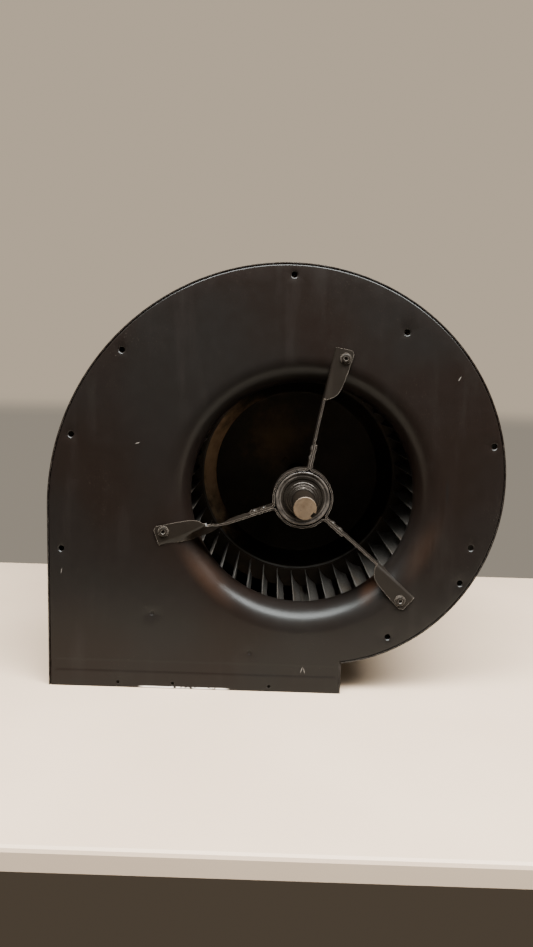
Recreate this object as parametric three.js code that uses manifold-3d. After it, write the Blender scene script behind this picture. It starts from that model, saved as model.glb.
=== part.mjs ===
// A belt-driven, double-inlet centrifugal blower: the fan of an exhaust hood, standing on its outlet.
//
// Units are millimetres and +Z is up. The pieces are modelled about the shaft: X and Z are zero on its
// axis, and Y runs from zero on the front side plate's outer face to HOUSING_DEPTH on the rear one's.
// Angles are in degrees and run anticlockwise as seen from the front, from +X. The exported group then
// stands the fan on Z = 0.
//
// The two sides of the fan are mirror images, so each piece of a side is built once and placed twice.

import * as THREE from "three";
import { mergeVertices } from "three/addons/utils/BufferGeometryUtils.js";
import Module from "manifold-3d";

const wasm = await Module();
wasm.setup();

// Driving dimensions

const GAP = 0.3; // between pieces that touch
const LARGE_SIDES = 40; // facets round a large turned piece
const SMALL_SIDES = 20; // and round a small one
const SIDES = ["front", "rear"];

const HOUSING_DEPTH = 395; // over both side plates
const SHEET = 1.5; // housing sheet
const SHAFT_HEIGHT = 230; // shaft axis above the outlet's edge
const OUTLET_RIGHT = 51; // shaft axis to the outlet's right wall
const SCROLL_START_RADIUS = 199.8; // at the corner above the outlet's right wall
const SCROLL_GROWTH = 0.351; // per degree
const SCROLL_END = 184; // where the spiral runs into the straight back
const SCROLL_STEPS = 44;
const RIM_DEPTH = 12; // the side plate's folded rim, inside the wrapper

const BELL_THROAT = 130; // inlet radius
const BELL_CURVE = 30; // radius of the drawn inlet's quarter round
const BELL_LIP = 4; // straight lip behind the quarter round

const RIM_HOLE = 3.5; // radius
const RIM_HOLES = [
  { angle: 142, inset: 16 },
  { angle: 166, inset: 14.5 },
  { angle: 94, inset: 13 },
  { angle: 60, inset: 31 },
  { angle: 17, inset: 11 },
  { angle: -15, inset: 21.5 },
  { angle: -27, inset: 11.5 },
  { angle: -57, inset: 16 },
];
const BACK_HOLE = { inset: 16, drop: 66 }; // beside the straight back, below the shaft
const EDGE_HOLE = 2; // radius of the small holes along the outlet's edge
const EDGE_HOLE_HEIGHT = 6;
const EDGE_HOLES_X = [-209, -145, -32];

const NOSE_RADIUS = 7; // of the cut-off tongue
const NOSE_X = 13;
const NOSE_GAP = 12; // tongue to wheel
const NOSE_LOWER_NORMAL = 230;
const NOSE_UPPER_NORMAL = 62;
const TONGUE_LAP = 0.7; // of the spiral's first facet, behind which the tongue's end lies

const STRIP = 2; // bracket strip thickness
const ARM_ANGLES = [79.3, 199.3, 319.3];
const BAND_RADIUS = 33; // middle of the bracket's ring
const BAND_FRONT = -2;
const BAND_WIDTH = 20;
const BEND = 4; // bend radius where a strip leaves the ring
const TAB_END = 62; // end tab, measured from the shaft axis
const WEB_WIDTH = 24; // the arm's width beyond the tab
const FOOT_END = 172;
const FOOT_WIDTH = 20;
const FOOT_START = 114;
const BRACKET_RIVET_AT = 52;
const RIVET_RADIUS = 2;

const BOLT_CIRCLE = 162.4; // foot screws
const BOLT_LEAD = 4.23; // degrees that a foot screw lies clockwise of its arm
const SCREW_RADIUS = 2.5;
const SCREW_HEAD = 6;
const SCREW_LENGTH = 11; // behind the front face of the side plate
const NUT_FLATS = 8;
const NUT_HEIGHT = 4;

const SHAFT_RADIUS = 12.5;
const SHAFT_REACH = 64; // each end, beyond the side plate
const KEYWAY = { angle: -38, width: 6, depth: 3.2, length: 45 };

const BEARING_MIDDLE = 8; // behind the side plate's outer face
const BEARING_WIDTH = 15;
const BEARING_OUTER = 26;
const BALL_RADIUS = 3.97;
const BALL_CIRCLE = 19.25;
const BALLS = 9;
const INNER_RACE = 16.6;
const OUTER_RACE = 22;
const RUBBER_OUTER = 31.7;
const COLLAR_RADIUS = 19;
const COLLAR_FRONT = -18;
const COLLAR_BACK = -3;
const COLLAR_SCREW = 2.7;
const COLLAR_GRIP = 4; // of the inner ring's nose inside the collar
const NOSE_WALL = 2.4; // of the inner ring's nose
const CAGE_HALF = 1.2; // half of the ball cage's thickness, both ways
const SHIELD = 0.5;

const WHEEL_RADIUS = 160;
const WHEEL_SPAN = 320; // between the outer faces of the end rings
const BLADES = 43;
const BLADE = 1; // thickness
const BLADE_INNER = 136;
const BLADE_OUTER = 158;
const BLADE_ADVANCE = 13; // how far the outer tip leads the inner edge, in the direction of rotation
const END_BAND = 1.2; // edge bands that join a strip's blades
const DISC_DISH = 40; // how far the middle of the centre disc lies behind its rim
const DISC_FLAT = 117;
const DISC_CONE = 133;
const HUB_RADIUS = 19;
const HUB_FLANGE = 30;
const HUB_LENGTH = 38;
const HUB_RIVET_CIRCLE = 24.5;
const HUB_SCREW = 3.7;

// Finishes

const PAINT = { color: 0x2b2621, roughness: 0.5, metalness: 0.3 };
const BRACKET_STEEL = { color: 0x3a3632, roughness: 0.45, metalness: 0.6 };
const ZINC = { color: 0x4a4743, roughness: 0.4, metalness: 0.8 };
const BARE_STEEL = { color: 0xa89a88, roughness: 0.35, metalness: 1 };
const BEARING_STEEL = { color: 0x6b655e, roughness: 0.3, metalness: 1 };
const RUBBER = { color: 0x171615, roughness: 0.8, metalness: 0 };
const GALVANISED = { color: 0x4c4a47, roughness: 0.45, metalness: 0.7 };

// Geometry helpers

const radians = THREE.MathUtils.degToRad;

function polar(radius, angle) {
  return new THREE.Vector2(radius * Math.cos(radians(angle)), radius * Math.sin(radians(angle)));
}

function arc(centre, radius, from, to, steps) {
  return Array.from({ length: steps + 1 }, (_, i) =>
    polar(radius, THREE.MathUtils.lerp(from, to, i / steps)).add(centre),
  );
}

// A regular polygon that stands for a round hole or bar.
function roundPath(centre, radius, sides) {
  return new THREE.Path(arc(centre, radius, 0, 360, sides).slice(0, sides));
}

// A path moved sideways: to its left for a positive distance, with mitred corners.
function offsetPath(path, distance) {
  const leftNormal = (a, b) => new THREE.Vector2(a.y - b.y, b.x - a.x).normalize();
  return path.map((point, i) => {
    const before = leftNormal(path[Math.max(i - 1, 0)], path[Math.max(i, 1)]);
    const last = path.length - 1;
    const after = leftNormal(path[Math.min(i, last - 1)], path[Math.min(i + 1, last)]);
    const mitre = before.add(after);
    return point.clone().addScaledVector(mitre, (2 * distance) / mitre.lengthSq());
  });
}

// The edge view of a bent sheet whose one face follows the path.
function sheetShape(path, thickness) {
  return new THREE.Shape([...path, ...offsetPath(path, thickness).reverse()]);
}

// An XZ outline extruded along Y.
function extrudeAlongY(shape, from, to) {
  const geometry = new THREE.ExtrudeGeometry(shape, { depth: to - from, bevelEnabled: false });
  return geometry.rotateX(Math.PI / 2).translate(0, to, 0);
}

// An XY outline extruded along Z: the side view of an arm that points along +X.
function extrudeAlongZ(shape, from, to) {
  const geometry = new THREE.ExtrudeGeometry(shape, { depth: to - from, bevelEnabled: false });
  return geometry.translate(0, 0, from);
}

// A piece turned on the Y axis, from [radius, y] points. The profile closes or ends on the axis.
function turned(profile, segments) {
  const points = profile.map(([radius, y]) => new THREE.Vector2(radius, y));
  if (THREE.ShapeUtils.isClockWise(points)) points.reverse();
  if (points[0].x > 0) points.push(points[0].clone());
  return new THREE.LatheGeometry(points, segments);
}

// Turns a piece that was made for an arm along +X to the arm's own angle.
function atAngle(geometry, angle) {
  return geometry.rotateY(-radians(angle));
}

function solid(geometry) {
  const bare = geometry.clone();
  bare.deleteAttribute("normal");
  bare.deleteAttribute("uv");
  const merged = mergeVertices(bare, 1e-3);
  const mesh = new wasm.Mesh({
    numProp: 3,
    vertProperties: merged.attributes.position.array,
    triVerts: new Uint32Array(merged.index.array),
  });
  return new wasm.Manifold(mesh);
}

function join(...geometries) {
  return geometries.map(solid).reduce((a, b) => a.add(b));
}

function surface(manifold) {
  const mesh = manifold.getMesh();
  const indexed = new THREE.BufferGeometry();
  indexed.setAttribute("position", new THREE.BufferAttribute(mesh.vertProperties, 3));
  indexed.setIndex(new THREE.BufferAttribute(mesh.triVerts, 1));
  const geometry = indexed.toNonIndexed();
  geometry.computeVertexNormals();
  return geometry;
}

// A round bar along Y, for cutting holes.
function barY(x, z, radius, from, to, sides = 10) {
  const outline = roundPath(new THREE.Vector2(x, z), radius, sides);
  return extrudeAlongY(new THREE.Shape(outline.getPoints()), from, to);
}

// A round bar along Z, for holes across an arm that points along +X.
function barZ(x, y, radius, from, to, sides = 8) {
  const outline = roundPath(new THREE.Vector2(x, y), radius, sides);
  return extrudeAlongZ(new THREE.Shape(outline.getPoints()), from, to);
}

// Housing

// The angle at which the spiral, set in, meets the outlet's right wall, set in by as much.
function scrollStart(inset) {
  return -THREE.MathUtils.radToDeg(Math.acos((OUTLET_RIGHT - inset) / (SCROLL_START_RADIUS - inset)));
}

// Where the spiral's facets meet. Sheets that nest share these angles, so their facets are parallel.
const SCROLL_ANGLES = Array.from({ length: SCROLL_STEPS + 1 }, (_, i) =>
  THREE.MathUtils.lerp(scrollStart(0), SCROLL_END, i / SCROLL_STEPS),
);

// A point of the spiral, set in from the wrapper's outer face.
function scrollPoint(angle, inset = 0) {
  return polar(SCROLL_START_RADIUS + SCROLL_GROWTH * (angle - SCROLL_ANGLES[0]) - inset, angle);
}

const BACK_WALL = -scrollPoint(SCROLL_END).x;

// The spiral from an angle on, and the straight back down to the outlet's left corner.
function scrollPath(inset, from) {
  const angles = [from, ...SCROLL_ANGLES.filter((angle) => angle > from)];
  const corner = new THREE.Vector2(-BACK_WALL + inset, -SHAFT_HEIGHT);
  return [...angles.map((angle) => scrollPoint(angle, inset)), corner];
}

function scrollWrapper() {
  return extrudeAlongY(sheetShape(scrollPath(0, SCROLL_ANGLES[0]), SHEET), 0, HOUSING_DEPTH);
}

// The outlet's right wall with the tongue: a folded sheet whose nose points into the air stream.
function cutoffPlate() {
  const wallTop = scrollPoint(SCROLL_ANGLES[0]).y - SHEET / 2;
  const wall = new THREE.Shape([
    new THREE.Vector2(OUTLET_RIGHT - SHEET, -SHAFT_HEIGHT),
    new THREE.Vector2(OUTLET_RIGHT, -SHAFT_HEIGHT),
    new THREE.Vector2(OUTLET_RIGHT, wallTop),
    new THREE.Vector2(OUTLET_RIGHT - SHEET, wallTop),
  ]);

  const reach = WHEEL_RADIUS + NOSE_GAP + NOSE_RADIUS;
  const centre = new THREE.Vector2(NOSE_X, -Math.sqrt(reach ** 2 - NOSE_X ** 2));
  const nose = arc(centre, NOSE_RADIUS, NOSE_LOWER_NORMAL, NOSE_UPPER_NORMAL, 8);
  const lowerLeg = polar(1, NOSE_LOWER_NORMAL + 90);
  const wallMiddle = OUTLET_RIGHT - SHEET / 2;
  const foot = nose[0].clone().addScaledVector(lowerLeg, (wallMiddle - nose[0].x) / lowerLeg.x);
  const lapInset = 2 * SHEET + GAP;
  const [lapStart, lapTowards] = SCROLL_ANGLES.slice(0, 2).map((angle) => scrollPoint(angle, lapInset));
  const lapEnd = lapStart.clone().lerp(lapTowards, TONGUE_LAP);
  const tongue = sheetShape([foot, ...nose, lapStart, lapEnd], -SHEET);

  const inside = SHEET + GAP;
  return surface(
    join(extrudeAlongY(wall, 0, HOUSING_DEPTH), extrudeAlongY(tongue, inside, HOUSING_DEPTH - inside)),
  );
}

// How far behind the side plate's outer face the drawn inlet's front surface lies, at a radius.
function bellDepth(radius) {
  const across = THREE.MathUtils.clamp(BELL_THROAT + BELL_CURVE - radius, 0, BELL_CURVE);
  return BELL_CURVE - Math.sqrt(BELL_CURVE ** 2 - across ** 2);
}

// One surface of the drawn inlet, as a solid that fills it from the side plate to the end of its lip.
// It starts a little in front of its own plane, so that it cuts cleanly through the sheet.
function bellSolid(thickness, lipEnd) {
  const mouth = BELL_THROAT + BELL_CURVE;
  const round = arc(new THREE.Vector2(mouth, BELL_CURVE), BELL_CURVE - thickness, 270, 180, 5).slice(1);
  const start = thickness - GAP;
  return turned(
    [
      [0, start],
      [mouth + 2, start],
      ...round.map((point) => [point.x, point.y]),
      [BELL_THROAT + thickness, lipEnd],
      [0, lipEnd],
    ],
    LARGE_SIDES,
  );
}

function footScrewPoint(armAngle) {
  return polar(BOLT_CIRCLE, armAngle - BOLT_LEAD);
}

// Everything inside the folded rim, and beyond the plate's free edges at the outlet.
function insideRim(inset) {
  const beyond = 20;
  const outside = scrollPoint(SCROLL_ANGLES[1], -beyond);
  const rim = offsetPath(scrollPath(inset, SCROLL_ANGLES[1]), SHEET);
  const corner = rim.pop();
  const below = -SHAFT_HEIGHT - beyond;
  const free = [
    new THREE.Vector2(corner.x, below),
    new THREE.Vector2(outside.x, below),
    outside,
  ];
  return extrudeAlongY(new THREE.Shape([...rim, ...free]), SHEET, RIM_DEPTH + 1);
}

// Flat scroll sheet, folded rim and drawn inlet in one piece.
function sidePlate() {
  const inset = SHEET + GAP;
  const spiral = scrollPath(inset, scrollStart(inset));
  const outline = new THREE.Shape([new THREE.Vector2(OUTLET_RIGHT - inset, -SHAFT_HEIGHT), ...spiral]);
  const holes = [
    ...RIM_HOLES.map(({ angle, inset: fromRim }) => scrollPoint(angle, fromRim)),
    new THREE.Vector2(-BACK_WALL + BACK_HOLE.inset, -BACK_HOLE.drop),
  ];
  for (const hole of holes) outline.holes.push(roundPath(hole, RIM_HOLE, 8));
  for (const x of EDGE_HOLES_X)
    outline.holes.push(roundPath(new THREE.Vector2(x, EDGE_HOLE_HEIGHT - SHAFT_HEIGHT), EDGE_HOLE, 6));

  const lip = BELL_CURVE + BELL_LIP;
  const bolts = ARM_ANGLES.map((angle) => {
    const { x, y } = footScrewPoint(angle);
    return barY(x, y, RIM_HOLE, -1, 5);
  });
  return surface(
    solid(extrudeAlongY(outline, 0, RIM_DEPTH))
      .subtract(solid(insideRim(inset)))
      .add(solid(bellSolid(SHEET, lip)))
      .subtract(solid(bellSolid(0, lip + 1)))
      .subtract(join(...bolts)),
  );
}

// Bearing brackets

// Where the web's back edge steps round the drawn inlet, along the arm.
const WEB_STATIONS = [-8, 0, 5, 11, 18, 26].map((past) => BELL_THROAT + past);

// One bracket strip for an arm along +X: foot, arm, a third of the ring, and the tab on the next arm.
function bracketStrip() {
  const spacing = 120;
  const band = BAND_RADIUS - STRIP / 2;
  // The arm bends into the ring, anticlockwise; the ring's end bends out along the next arm.
  const axis = new THREE.Vector2();
  const degreesAcross = (side) => THREE.MathUtils.radToDeg(Math.asin(side / (BAND_RADIUS + BEND)));
  const armBend = degreesAcross(STRIP + BEND);
  const tabBend = degreesAcross(STRIP + GAP + BEND);
  const tabFace = -GAP - STRIP;
  const onNextArm = (along, side) =>
    new THREE.Vector2(along, side).rotateAround(axis, radians(spacing));
  const root = [new THREE.Vector2(TAB_END + 3, 0), new THREE.Vector2(BAND_RADIUS + 2 * BEND, 0)];
  const ring = arc(axis, band, armBend, spacing - tabBend, 9);
  const tab = [onNextArm(BAND_RADIUS + 2 * BEND, tabFace + STRIP), onNextArm(TAB_END, tabFace + STRIP)];
  const bent = sheetShape([...root, ...ring, ...tab].reverse(), STRIP);

  // The arm's web deepens towards the foot, clears the drawn inlet and runs out on the side plate.
  const frontEdge = BAND_FRONT - GAP;
  const backEdge = WEB_STATIONS.map((along) => {
    const depth = Math.min(bellDepth(along) - 1, frontEdge + WEB_WIDTH);
    return new THREE.Vector2(along, depth);
  });
  const web = new THREE.Shape([
    new THREE.Vector2(TAB_END, frontEdge),
    new THREE.Vector2(FOOT_END, frontEdge),
    new THREE.Vector2(FOOT_END, -GAP),
    ...backEdge.reverse(),
    new THREE.Vector2(TAB_END + 20, frontEdge + WEB_WIDTH),
    new THREE.Vector2(TAB_END, BAND_FRONT + BAND_WIDTH),
  ]);

  // The foot is a leaf that tapers to nothing along the arm.
  const foot = new THREE.Shape();
  foot.moveTo(FOOT_END, STRIP);
  foot.lineTo(FOOT_START, STRIP);
  foot.quadraticCurveTo(FOOT_START + 2, -FOOT_WIDTH * 0.75, FOOT_START + 26, -FOOT_WIDTH * 0.84);
  foot.lineTo(FOOT_END - 4, -FOOT_WIDTH);
  foot.lineTo(FOOT_END, -FOOT_WIDTH + 4);

  const footAt = footScrewPoint(0);
  const screwHole = barY(footAt.x, footAt.y, SCREW_RADIUS + 0.4, frontEdge - 1, 0.5);
  const rivetHoles = [0, spacing].map((angle) =>
    atAngle(barZ(BRACKET_RIVET_AT, BEARING_MIDDLE, RIVET_RADIUS + GAP, -2 * STRIP, 2 * STRIP), angle),
  );
  return join(
    extrudeAlongY(bent, BAND_FRONT, BAND_FRONT + BAND_WIDTH),
    extrudeAlongZ(web, 0, STRIP),
    extrudeAlongY(foot, frontEdge, -GAP),
  ).subtract(join(screwHole, ...rivetHoles));
}

// A rivet along Y with a low head at each end of its grip.
function rivet(grip, radius, segments) {
  const head = radius * 2;
  const rise = radius * 0.8;
  const half = grip / 2;
  return turned(
    [
      [0, -half - rise],
      [head * 0.6, -half - rise],
      [head, -half],
      [radius, -half],
      [radius, half],
      [head, half],
      [head * 0.6, half + rise],
      [0, half + rise],
    ],
    segments,
  );
}

// Joins an arm to the tab that laps it, across the arm.
function bracketRivet() {
  const grip = 2 * STRIP + 3 * GAP;
  return rivet(grip, RIVET_RADIUS, 8)
    .rotateX(Math.PI / 2)
    .translate(BRACKET_RIVET_AT, BEARING_MIDDLE, -GAP / 2);
}

function footScrew() {
  const seat = BAND_FRONT - 2 * GAP;
  const crown = seat - 3.6;
  return turned(
    [
      [0, crown + 2.2],
      [2, crown + 2.2],
      [2, crown],
      [SCREW_HEAD - 2, crown],
      [SCREW_HEAD, crown + 1.8],
      [SCREW_HEAD, seat],
      [SCREW_RADIUS, seat],
      [SCREW_RADIUS, SCREW_LENGTH],
      [0, SCREW_LENGTH],
    ],
    10,
  );
}

function footNut() {
  const corner = NUT_FLATS / 2 / Math.cos(radians(30));
  const shape = new THREE.Shape(arc(new THREE.Vector2(), corner, 30, 330, 5));
  shape.holes.push(roundPath(new THREE.Vector2(), SCREW_RADIUS + GAP, 10));
  const seat = SHEET + 2 * GAP;
  return extrudeAlongY(shape, seat, seat + NUT_HEIGHT);
}

function rubberRing() {
  const front = BAND_FRONT + 1;
  const back = BAND_FRONT + BAND_WIDTH - 1;
  const bore = BEARING_OUTER + GAP;
  const lip = BEARING_OUTER - 1;
  const half = BEARING_WIDTH / 2 + GAP;
  return turned(
    [
      [lip, front + 1],
      [RUBBER_OUTER - 2, front],
      [RUBBER_OUTER, front + 1.5],
      [RUBBER_OUTER, back - 1.5],
      [RUBBER_OUTER - 2, back],
      [lip, back - 1],
      [lip, BEARING_MIDDLE + half],
      [bore, BEARING_MIDDLE + half],
      [bore, BEARING_MIDDLE - half],
      [lip, BEARING_MIDDLE - half],
    ],
    SMALL_SIDES,
  );
}

// Bearings

const BEARING_FRONT = BEARING_MIDDLE - BEARING_WIDTH / 2;
const BEARING_BACK = BEARING_MIDDLE + BEARING_WIDTH / 2;

// The race's groove as [radius, y] points, from front to back.
function groove(race, bottom) {
  return [
    [race, BEARING_MIDDLE - 3.4],
    [bottom, BEARING_MIDDLE - 2.4],
    [bottom, BEARING_MIDDLE + 2.4],
    [race, BEARING_MIDDLE + 3.4],
  ];
}

function bearingOuterRing() {
  return turned(
    [
      [OUTER_RACE, BEARING_FRONT],
      ...groove(OUTER_RACE, BALL_CIRCLE + BALL_RADIUS + 2 * GAP),
      [OUTER_RACE, BEARING_BACK],
      [BEARING_OUTER, BEARING_BACK],
      [BEARING_OUTER, BEARING_FRONT],
    ],
    SMALL_SIDES,
  );
}

// The inner ring has a nose in front, which the locking collar grips.
function bearingInnerRing() {
  const bore = SHAFT_RADIUS + GAP;
  const nose = bore + NOSE_WALL;
  return turned(
    [
      [bore, COLLAR_BACK - COLLAR_GRIP],
      [nose, COLLAR_BACK - COLLAR_GRIP],
      [nose, BEARING_FRONT],
      [INNER_RACE, BEARING_FRONT],
      ...groove(INNER_RACE, BALL_CIRCLE - BALL_RADIUS - GAP),
      [INNER_RACE, BEARING_BACK],
      [bore, BEARING_BACK],
    ],
    SMALL_SIDES,
  );
}

// The balls, held by their cage.
function ballSet() {
  const cage = turned(
    [
      [BALL_CIRCLE - CAGE_HALF, BEARING_MIDDLE - CAGE_HALF],
      [BALL_CIRCLE + CAGE_HALF, BEARING_MIDDLE - CAGE_HALF],
      [BALL_CIRCLE + CAGE_HALF, BEARING_MIDDLE + CAGE_HALF],
      [BALL_CIRCLE - CAGE_HALF, BEARING_MIDDLE + CAGE_HALF],
    ],
    BALLS * 2,
  );
  const balls = Array.from({ length: BALLS }, (_, i) => {
    const centre = polar(BALL_CIRCLE, (360 / BALLS) * i);
    return new THREE.SphereGeometry(BALL_RADIUS, 7, 5).translate(centre.x, BEARING_MIDDLE, centre.y);
  });
  return surface(join(cage, ...balls));
}

function bearingShield(front) {
  const inner = INNER_RACE + 2 * GAP;
  const outer = OUTER_RACE - GAP;
  return turned(
    [
      [inner, front],
      [outer, front],
      [outer, front + SHIELD],
      [inner, front + SHIELD],
    ],
    SMALL_SIDES,
  );
}

function lockingCollar() {
  const bore = SHAFT_RADIUS + GAP;
  const recess = bore + NOSE_WALL + GAP;
  const ring = turned(
    [
      [bore, COLLAR_FRONT],
      [COLLAR_RADIUS - 1, COLLAR_FRONT],
      [COLLAR_RADIUS, COLLAR_FRONT + 1],
      [COLLAR_RADIUS, COLLAR_BACK],
      [recess, COLLAR_BACK],
      [recess, COLLAR_BACK - COLLAR_GRIP - GAP],
      [bore, COLLAR_BACK - COLLAR_GRIP - GAP],
    ],
    SMALL_SIDES,
  );
  const middle = (COLLAR_FRONT + COLLAR_BACK) / 2 - 2;
  const hole = barY(0, 0, COLLAR_SCREW + GAP, 0, 2 * COLLAR_RADIUS, 8).rotateX(Math.PI / 2);
  return surface(solid(ring).subtract(solid(hole.translate(0, middle, 0))));
}

// A socket set screw along +Y whose point is at the shaft.
function setScrew(radius, length) {
  const tip = SHAFT_RADIUS + GAP;
  return turned(
    [
      [0, tip],
      [radius * 0.6, tip],
      [radius, tip + 1],
      [radius, tip + length],
      [radius * 0.5, tip + length],
      [radius * 0.5, tip + length * 0.5],
      [0, tip + length * 0.5],
    ],
    8,
  );
}

function collarScrew() {
  const middle = (COLLAR_FRONT + COLLAR_BACK) / 2 - 2;
  return setScrew(COLLAR_SCREW, COLLAR_RADIUS - SHAFT_RADIUS - 1)
    .rotateX(Math.PI / 2)
    .translate(0, middle, 0);
}

// Rotor

function shaft() {
  const end = -SHAFT_REACH;
  const far = HOUSING_DEPTH + SHAFT_REACH;
  const bar = turned(
    [
      [0, end],
      [SHAFT_RADIUS - 1, end],
      [SHAFT_RADIUS, end + 1],
      [SHAFT_RADIUS, far - 1],
      [SHAFT_RADIUS - 1, far],
      [0, far],
    ],
    SMALL_SIDES,
  );
  const slotAt = (y) => {
    const slot = new THREE.BoxGeometry(KEYWAY.depth * 2, KEYWAY.length * 2, KEYWAY.width);
    return atAngle(slot.translate(SHAFT_RADIUS, 0, 0), KEYWAY.angle).translate(0, y, 0);
  };
  const frontSlot = slotAt(end);
  const rearSlot = slotAt(far);
  return surface(solid(bar).subtract(join(frontSlot, rearSlot)));
}

const MIDDLE = HOUSING_DEPTH / 2;
const DISC_CENTRE = MIDDLE + DISC_DISH;

// The dished disc that carries both rows of blades.
function centreDisc() {
  const half = SHEET / 2;
  const face = (side) => [
    [SHAFT_RADIUS + 2 * GAP, DISC_CENTRE + side],
    [DISC_FLAT, DISC_CENTRE + side],
    [DISC_CONE, MIDDLE + side],
    [WHEEL_RADIUS, MIDDLE + side],
  ];
  const plate = turned([...face(-half), ...face(half).reverse()], LARGE_SIDES);
  const holes = hubRivetPoints().map(({ x, y }) =>
    barY(x, y, RIVET_RADIUS + GAP, DISC_CENTRE - 4, DISC_CENTRE + 4, 8),
  );
  return surface(solid(plate).subtract(join(...holes)));
}

function hubRivetPoints() {
  return [45, 135, 225, 315].map((angle) => polar(HUB_RIVET_CIRCLE, angle));
}

const HUB_FRONT = DISC_CENTRE + SHEET / 2 + GAP;
const FLANGE = 5;
const HUB_SCREW_Y = HUB_FRONT + HUB_LENGTH * 0.65;
const HUB_SCREW_ANGLES = [52, 142];

function wheelHub() {
  const bore = SHAFT_RADIUS + GAP;
  const body = turned(
    [
      [bore, HUB_FRONT],
      [HUB_FLANGE, HUB_FRONT],
      [HUB_FLANGE, HUB_FRONT + FLANGE],
      [HUB_RADIUS + 1, HUB_FRONT + FLANGE],
      [HUB_RADIUS, HUB_FRONT + FLANGE + 2],
      [HUB_RADIUS, HUB_FRONT + HUB_LENGTH],
      [bore, HUB_FRONT + HUB_LENGTH],
    ],
    SMALL_SIDES,
  );
  const rivetHoles = hubRivetPoints().map((p) =>
    barY(p.x, p.y, RIVET_RADIUS + GAP, HUB_FRONT - 1, HUB_FRONT + FLANGE + 1, 8),
  );
  const screwHoles = HUB_SCREW_ANGLES.map((angle) => {
    const bar = barY(0, 0, HUB_SCREW + GAP, 0, 2 * HUB_RADIUS, 8).rotateX(Math.PI / 2);
    return atAngle(bar.translate(0, HUB_SCREW_Y, 0), angle - 90);
  });
  return surface(solid(body).subtract(join(...rivetHoles, ...screwHoles)));
}

function hubScrew(angle) {
  const screw = setScrew(HUB_SCREW, HUB_RADIUS - SHAFT_RADIUS - GAP);
  return atAngle(screw.rotateX(Math.PI / 2).translate(0, HUB_SCREW_Y, 0), angle - 90);
}

function hubRivet(point) {
  const front = DISC_CENTRE - SHEET / 2 - GAP;
  const back = HUB_FRONT + FLANGE + GAP;
  return rivet(back - front, RIVET_RADIUS, 8).translate(point.x, (front + back) / 2, point.y);
}

const WHEEL_FRONT = MIDDLE - WHEEL_SPAN / 2;
const ROW_FRONT = WHEEL_FRONT + SHEET + GAP;
const ROW_BACK = MIDDLE - SHEET / 2 - GAP;

// One row of forward-curved blades between its two edge bands.
function bladeStrip() {
  const curve = [0, 0.55, 1].map((t) => {
    const radius = THREE.MathUtils.lerp(BLADE_INNER, BLADE_OUTER, t);
    return new THREE.Vector2(radius, BLADE_ADVANCE * t * t);
  });
  const section = sheetShape(curve, BLADE);
  const band = (front) =>
    turned(
      [
        [BLADE_INNER - 1, front],
        [BLADE_OUTER + 1, front],
        [BLADE_OUTER + 1, front + END_BAND],
        [BLADE_INNER - 1, front + END_BAND],
      ],
      BLADES,
    );
  const pitch = 360 / BLADES;
  const blades = Array.from({ length: BLADES }, (_, i) =>
    atAngle(extrudeAlongY(section, ROW_FRONT + END_BAND / 2, ROW_BACK - END_BAND / 2), i * pitch),
  );
  return surface(join(band(ROW_FRONT), band(ROW_BACK - END_BAND), ...blades));
}

// A flat ring with a rolled outer skirt, over the outer ends of the blades.
function endRing() {
  const inner = BLADE_INNER - 2;
  return turned(
    [
      [inner, WHEEL_FRONT],
      [WHEEL_RADIUS + 1, WHEEL_FRONT],
      [WHEEL_RADIUS + 1, WHEEL_FRONT + 8],
      [WHEEL_RADIUS - 0.2, WHEEL_FRONT + 8],
      [WHEEL_RADIUS - 0.2, WHEEL_FRONT + SHEET],
      [inner, WHEEL_FRONT + SHEET],
    ],
    LARGE_SIDES,
  );
}

// Assembly

function piece(parent, name, geometry, finish) {
  const mesh = new THREE.Mesh(geometry, new THREE.MeshStandardMaterial(finish));
  mesh.name = name;
  parent.add(mesh);
  return mesh;
}

// The brackets, fasteners and bearing of one side, and its half of the wheel.
function addSide(parent, side) {
  piece(parent, `${side}_side_plate`, sidePlate(), PAINT);

  ARM_ANGLES.forEach((angle, i) => {
    const number = i + 1;
    const arm = new THREE.Group();
    arm.rotation.y = -radians(angle);
    parent.add(arm);
    piece(arm, `${side}_bracket_strip_${number}`, surface(bracketStrip()), BRACKET_STEEL);
    piece(arm, `${side}_bracket_rivet_${number}`, bracketRivet(), BRACKET_STEEL);
    const at = footScrewPoint(0);
    piece(arm, `${side}_foot_screw_${number}`, footScrew(), ZINC).position.set(at.x, 0, at.y);
    piece(arm, `${side}_foot_nut_${number}`, footNut(), ZINC).position.set(at.x, 0, at.y);
  });

  piece(parent, `${side}_rubber_ring`, rubberRing(), RUBBER);
  piece(parent, `${side}_bearing_outer_ring`, bearingOuterRing(), BEARING_STEEL);
  piece(parent, `${side}_bearing_inner_ring`, bearingInnerRing(), BEARING_STEEL);
  piece(parent, `${side}_bearing_ball_set`, ballSet(), BEARING_STEEL);
  piece(parent, `${side}_outboard_shield`, bearingShield(BEARING_FRONT + 0.8), BEARING_STEEL);
  piece(parent, `${side}_inboard_shield`, bearingShield(BEARING_BACK - 1.3), BEARING_STEEL);
  piece(parent, `${side}_locking_collar`, lockingCollar(), BEARING_STEEL);
  piece(parent, `${side}_collar_screw`, collarScrew(), ZINC);

  piece(parent, `${side}_blade_strip`, bladeStrip(), GALVANISED);
  piece(parent, `${side}_end_ring`, endRing(), GALVANISED);
}

const fan = new THREE.Group();
const rightmost = Math.max(...scrollPath(0, SCROLL_ANGLES[0]).map((point) => point.x));
fan.position.set((BACK_WALL - rightmost) / 2, -MIDDLE, SHAFT_HEIGHT);

piece(fan, "scroll_wrapper", scrollWrapper(), PAINT);
piece(fan, "cutoff_plate", cutoffPlate(), PAINT);

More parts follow.
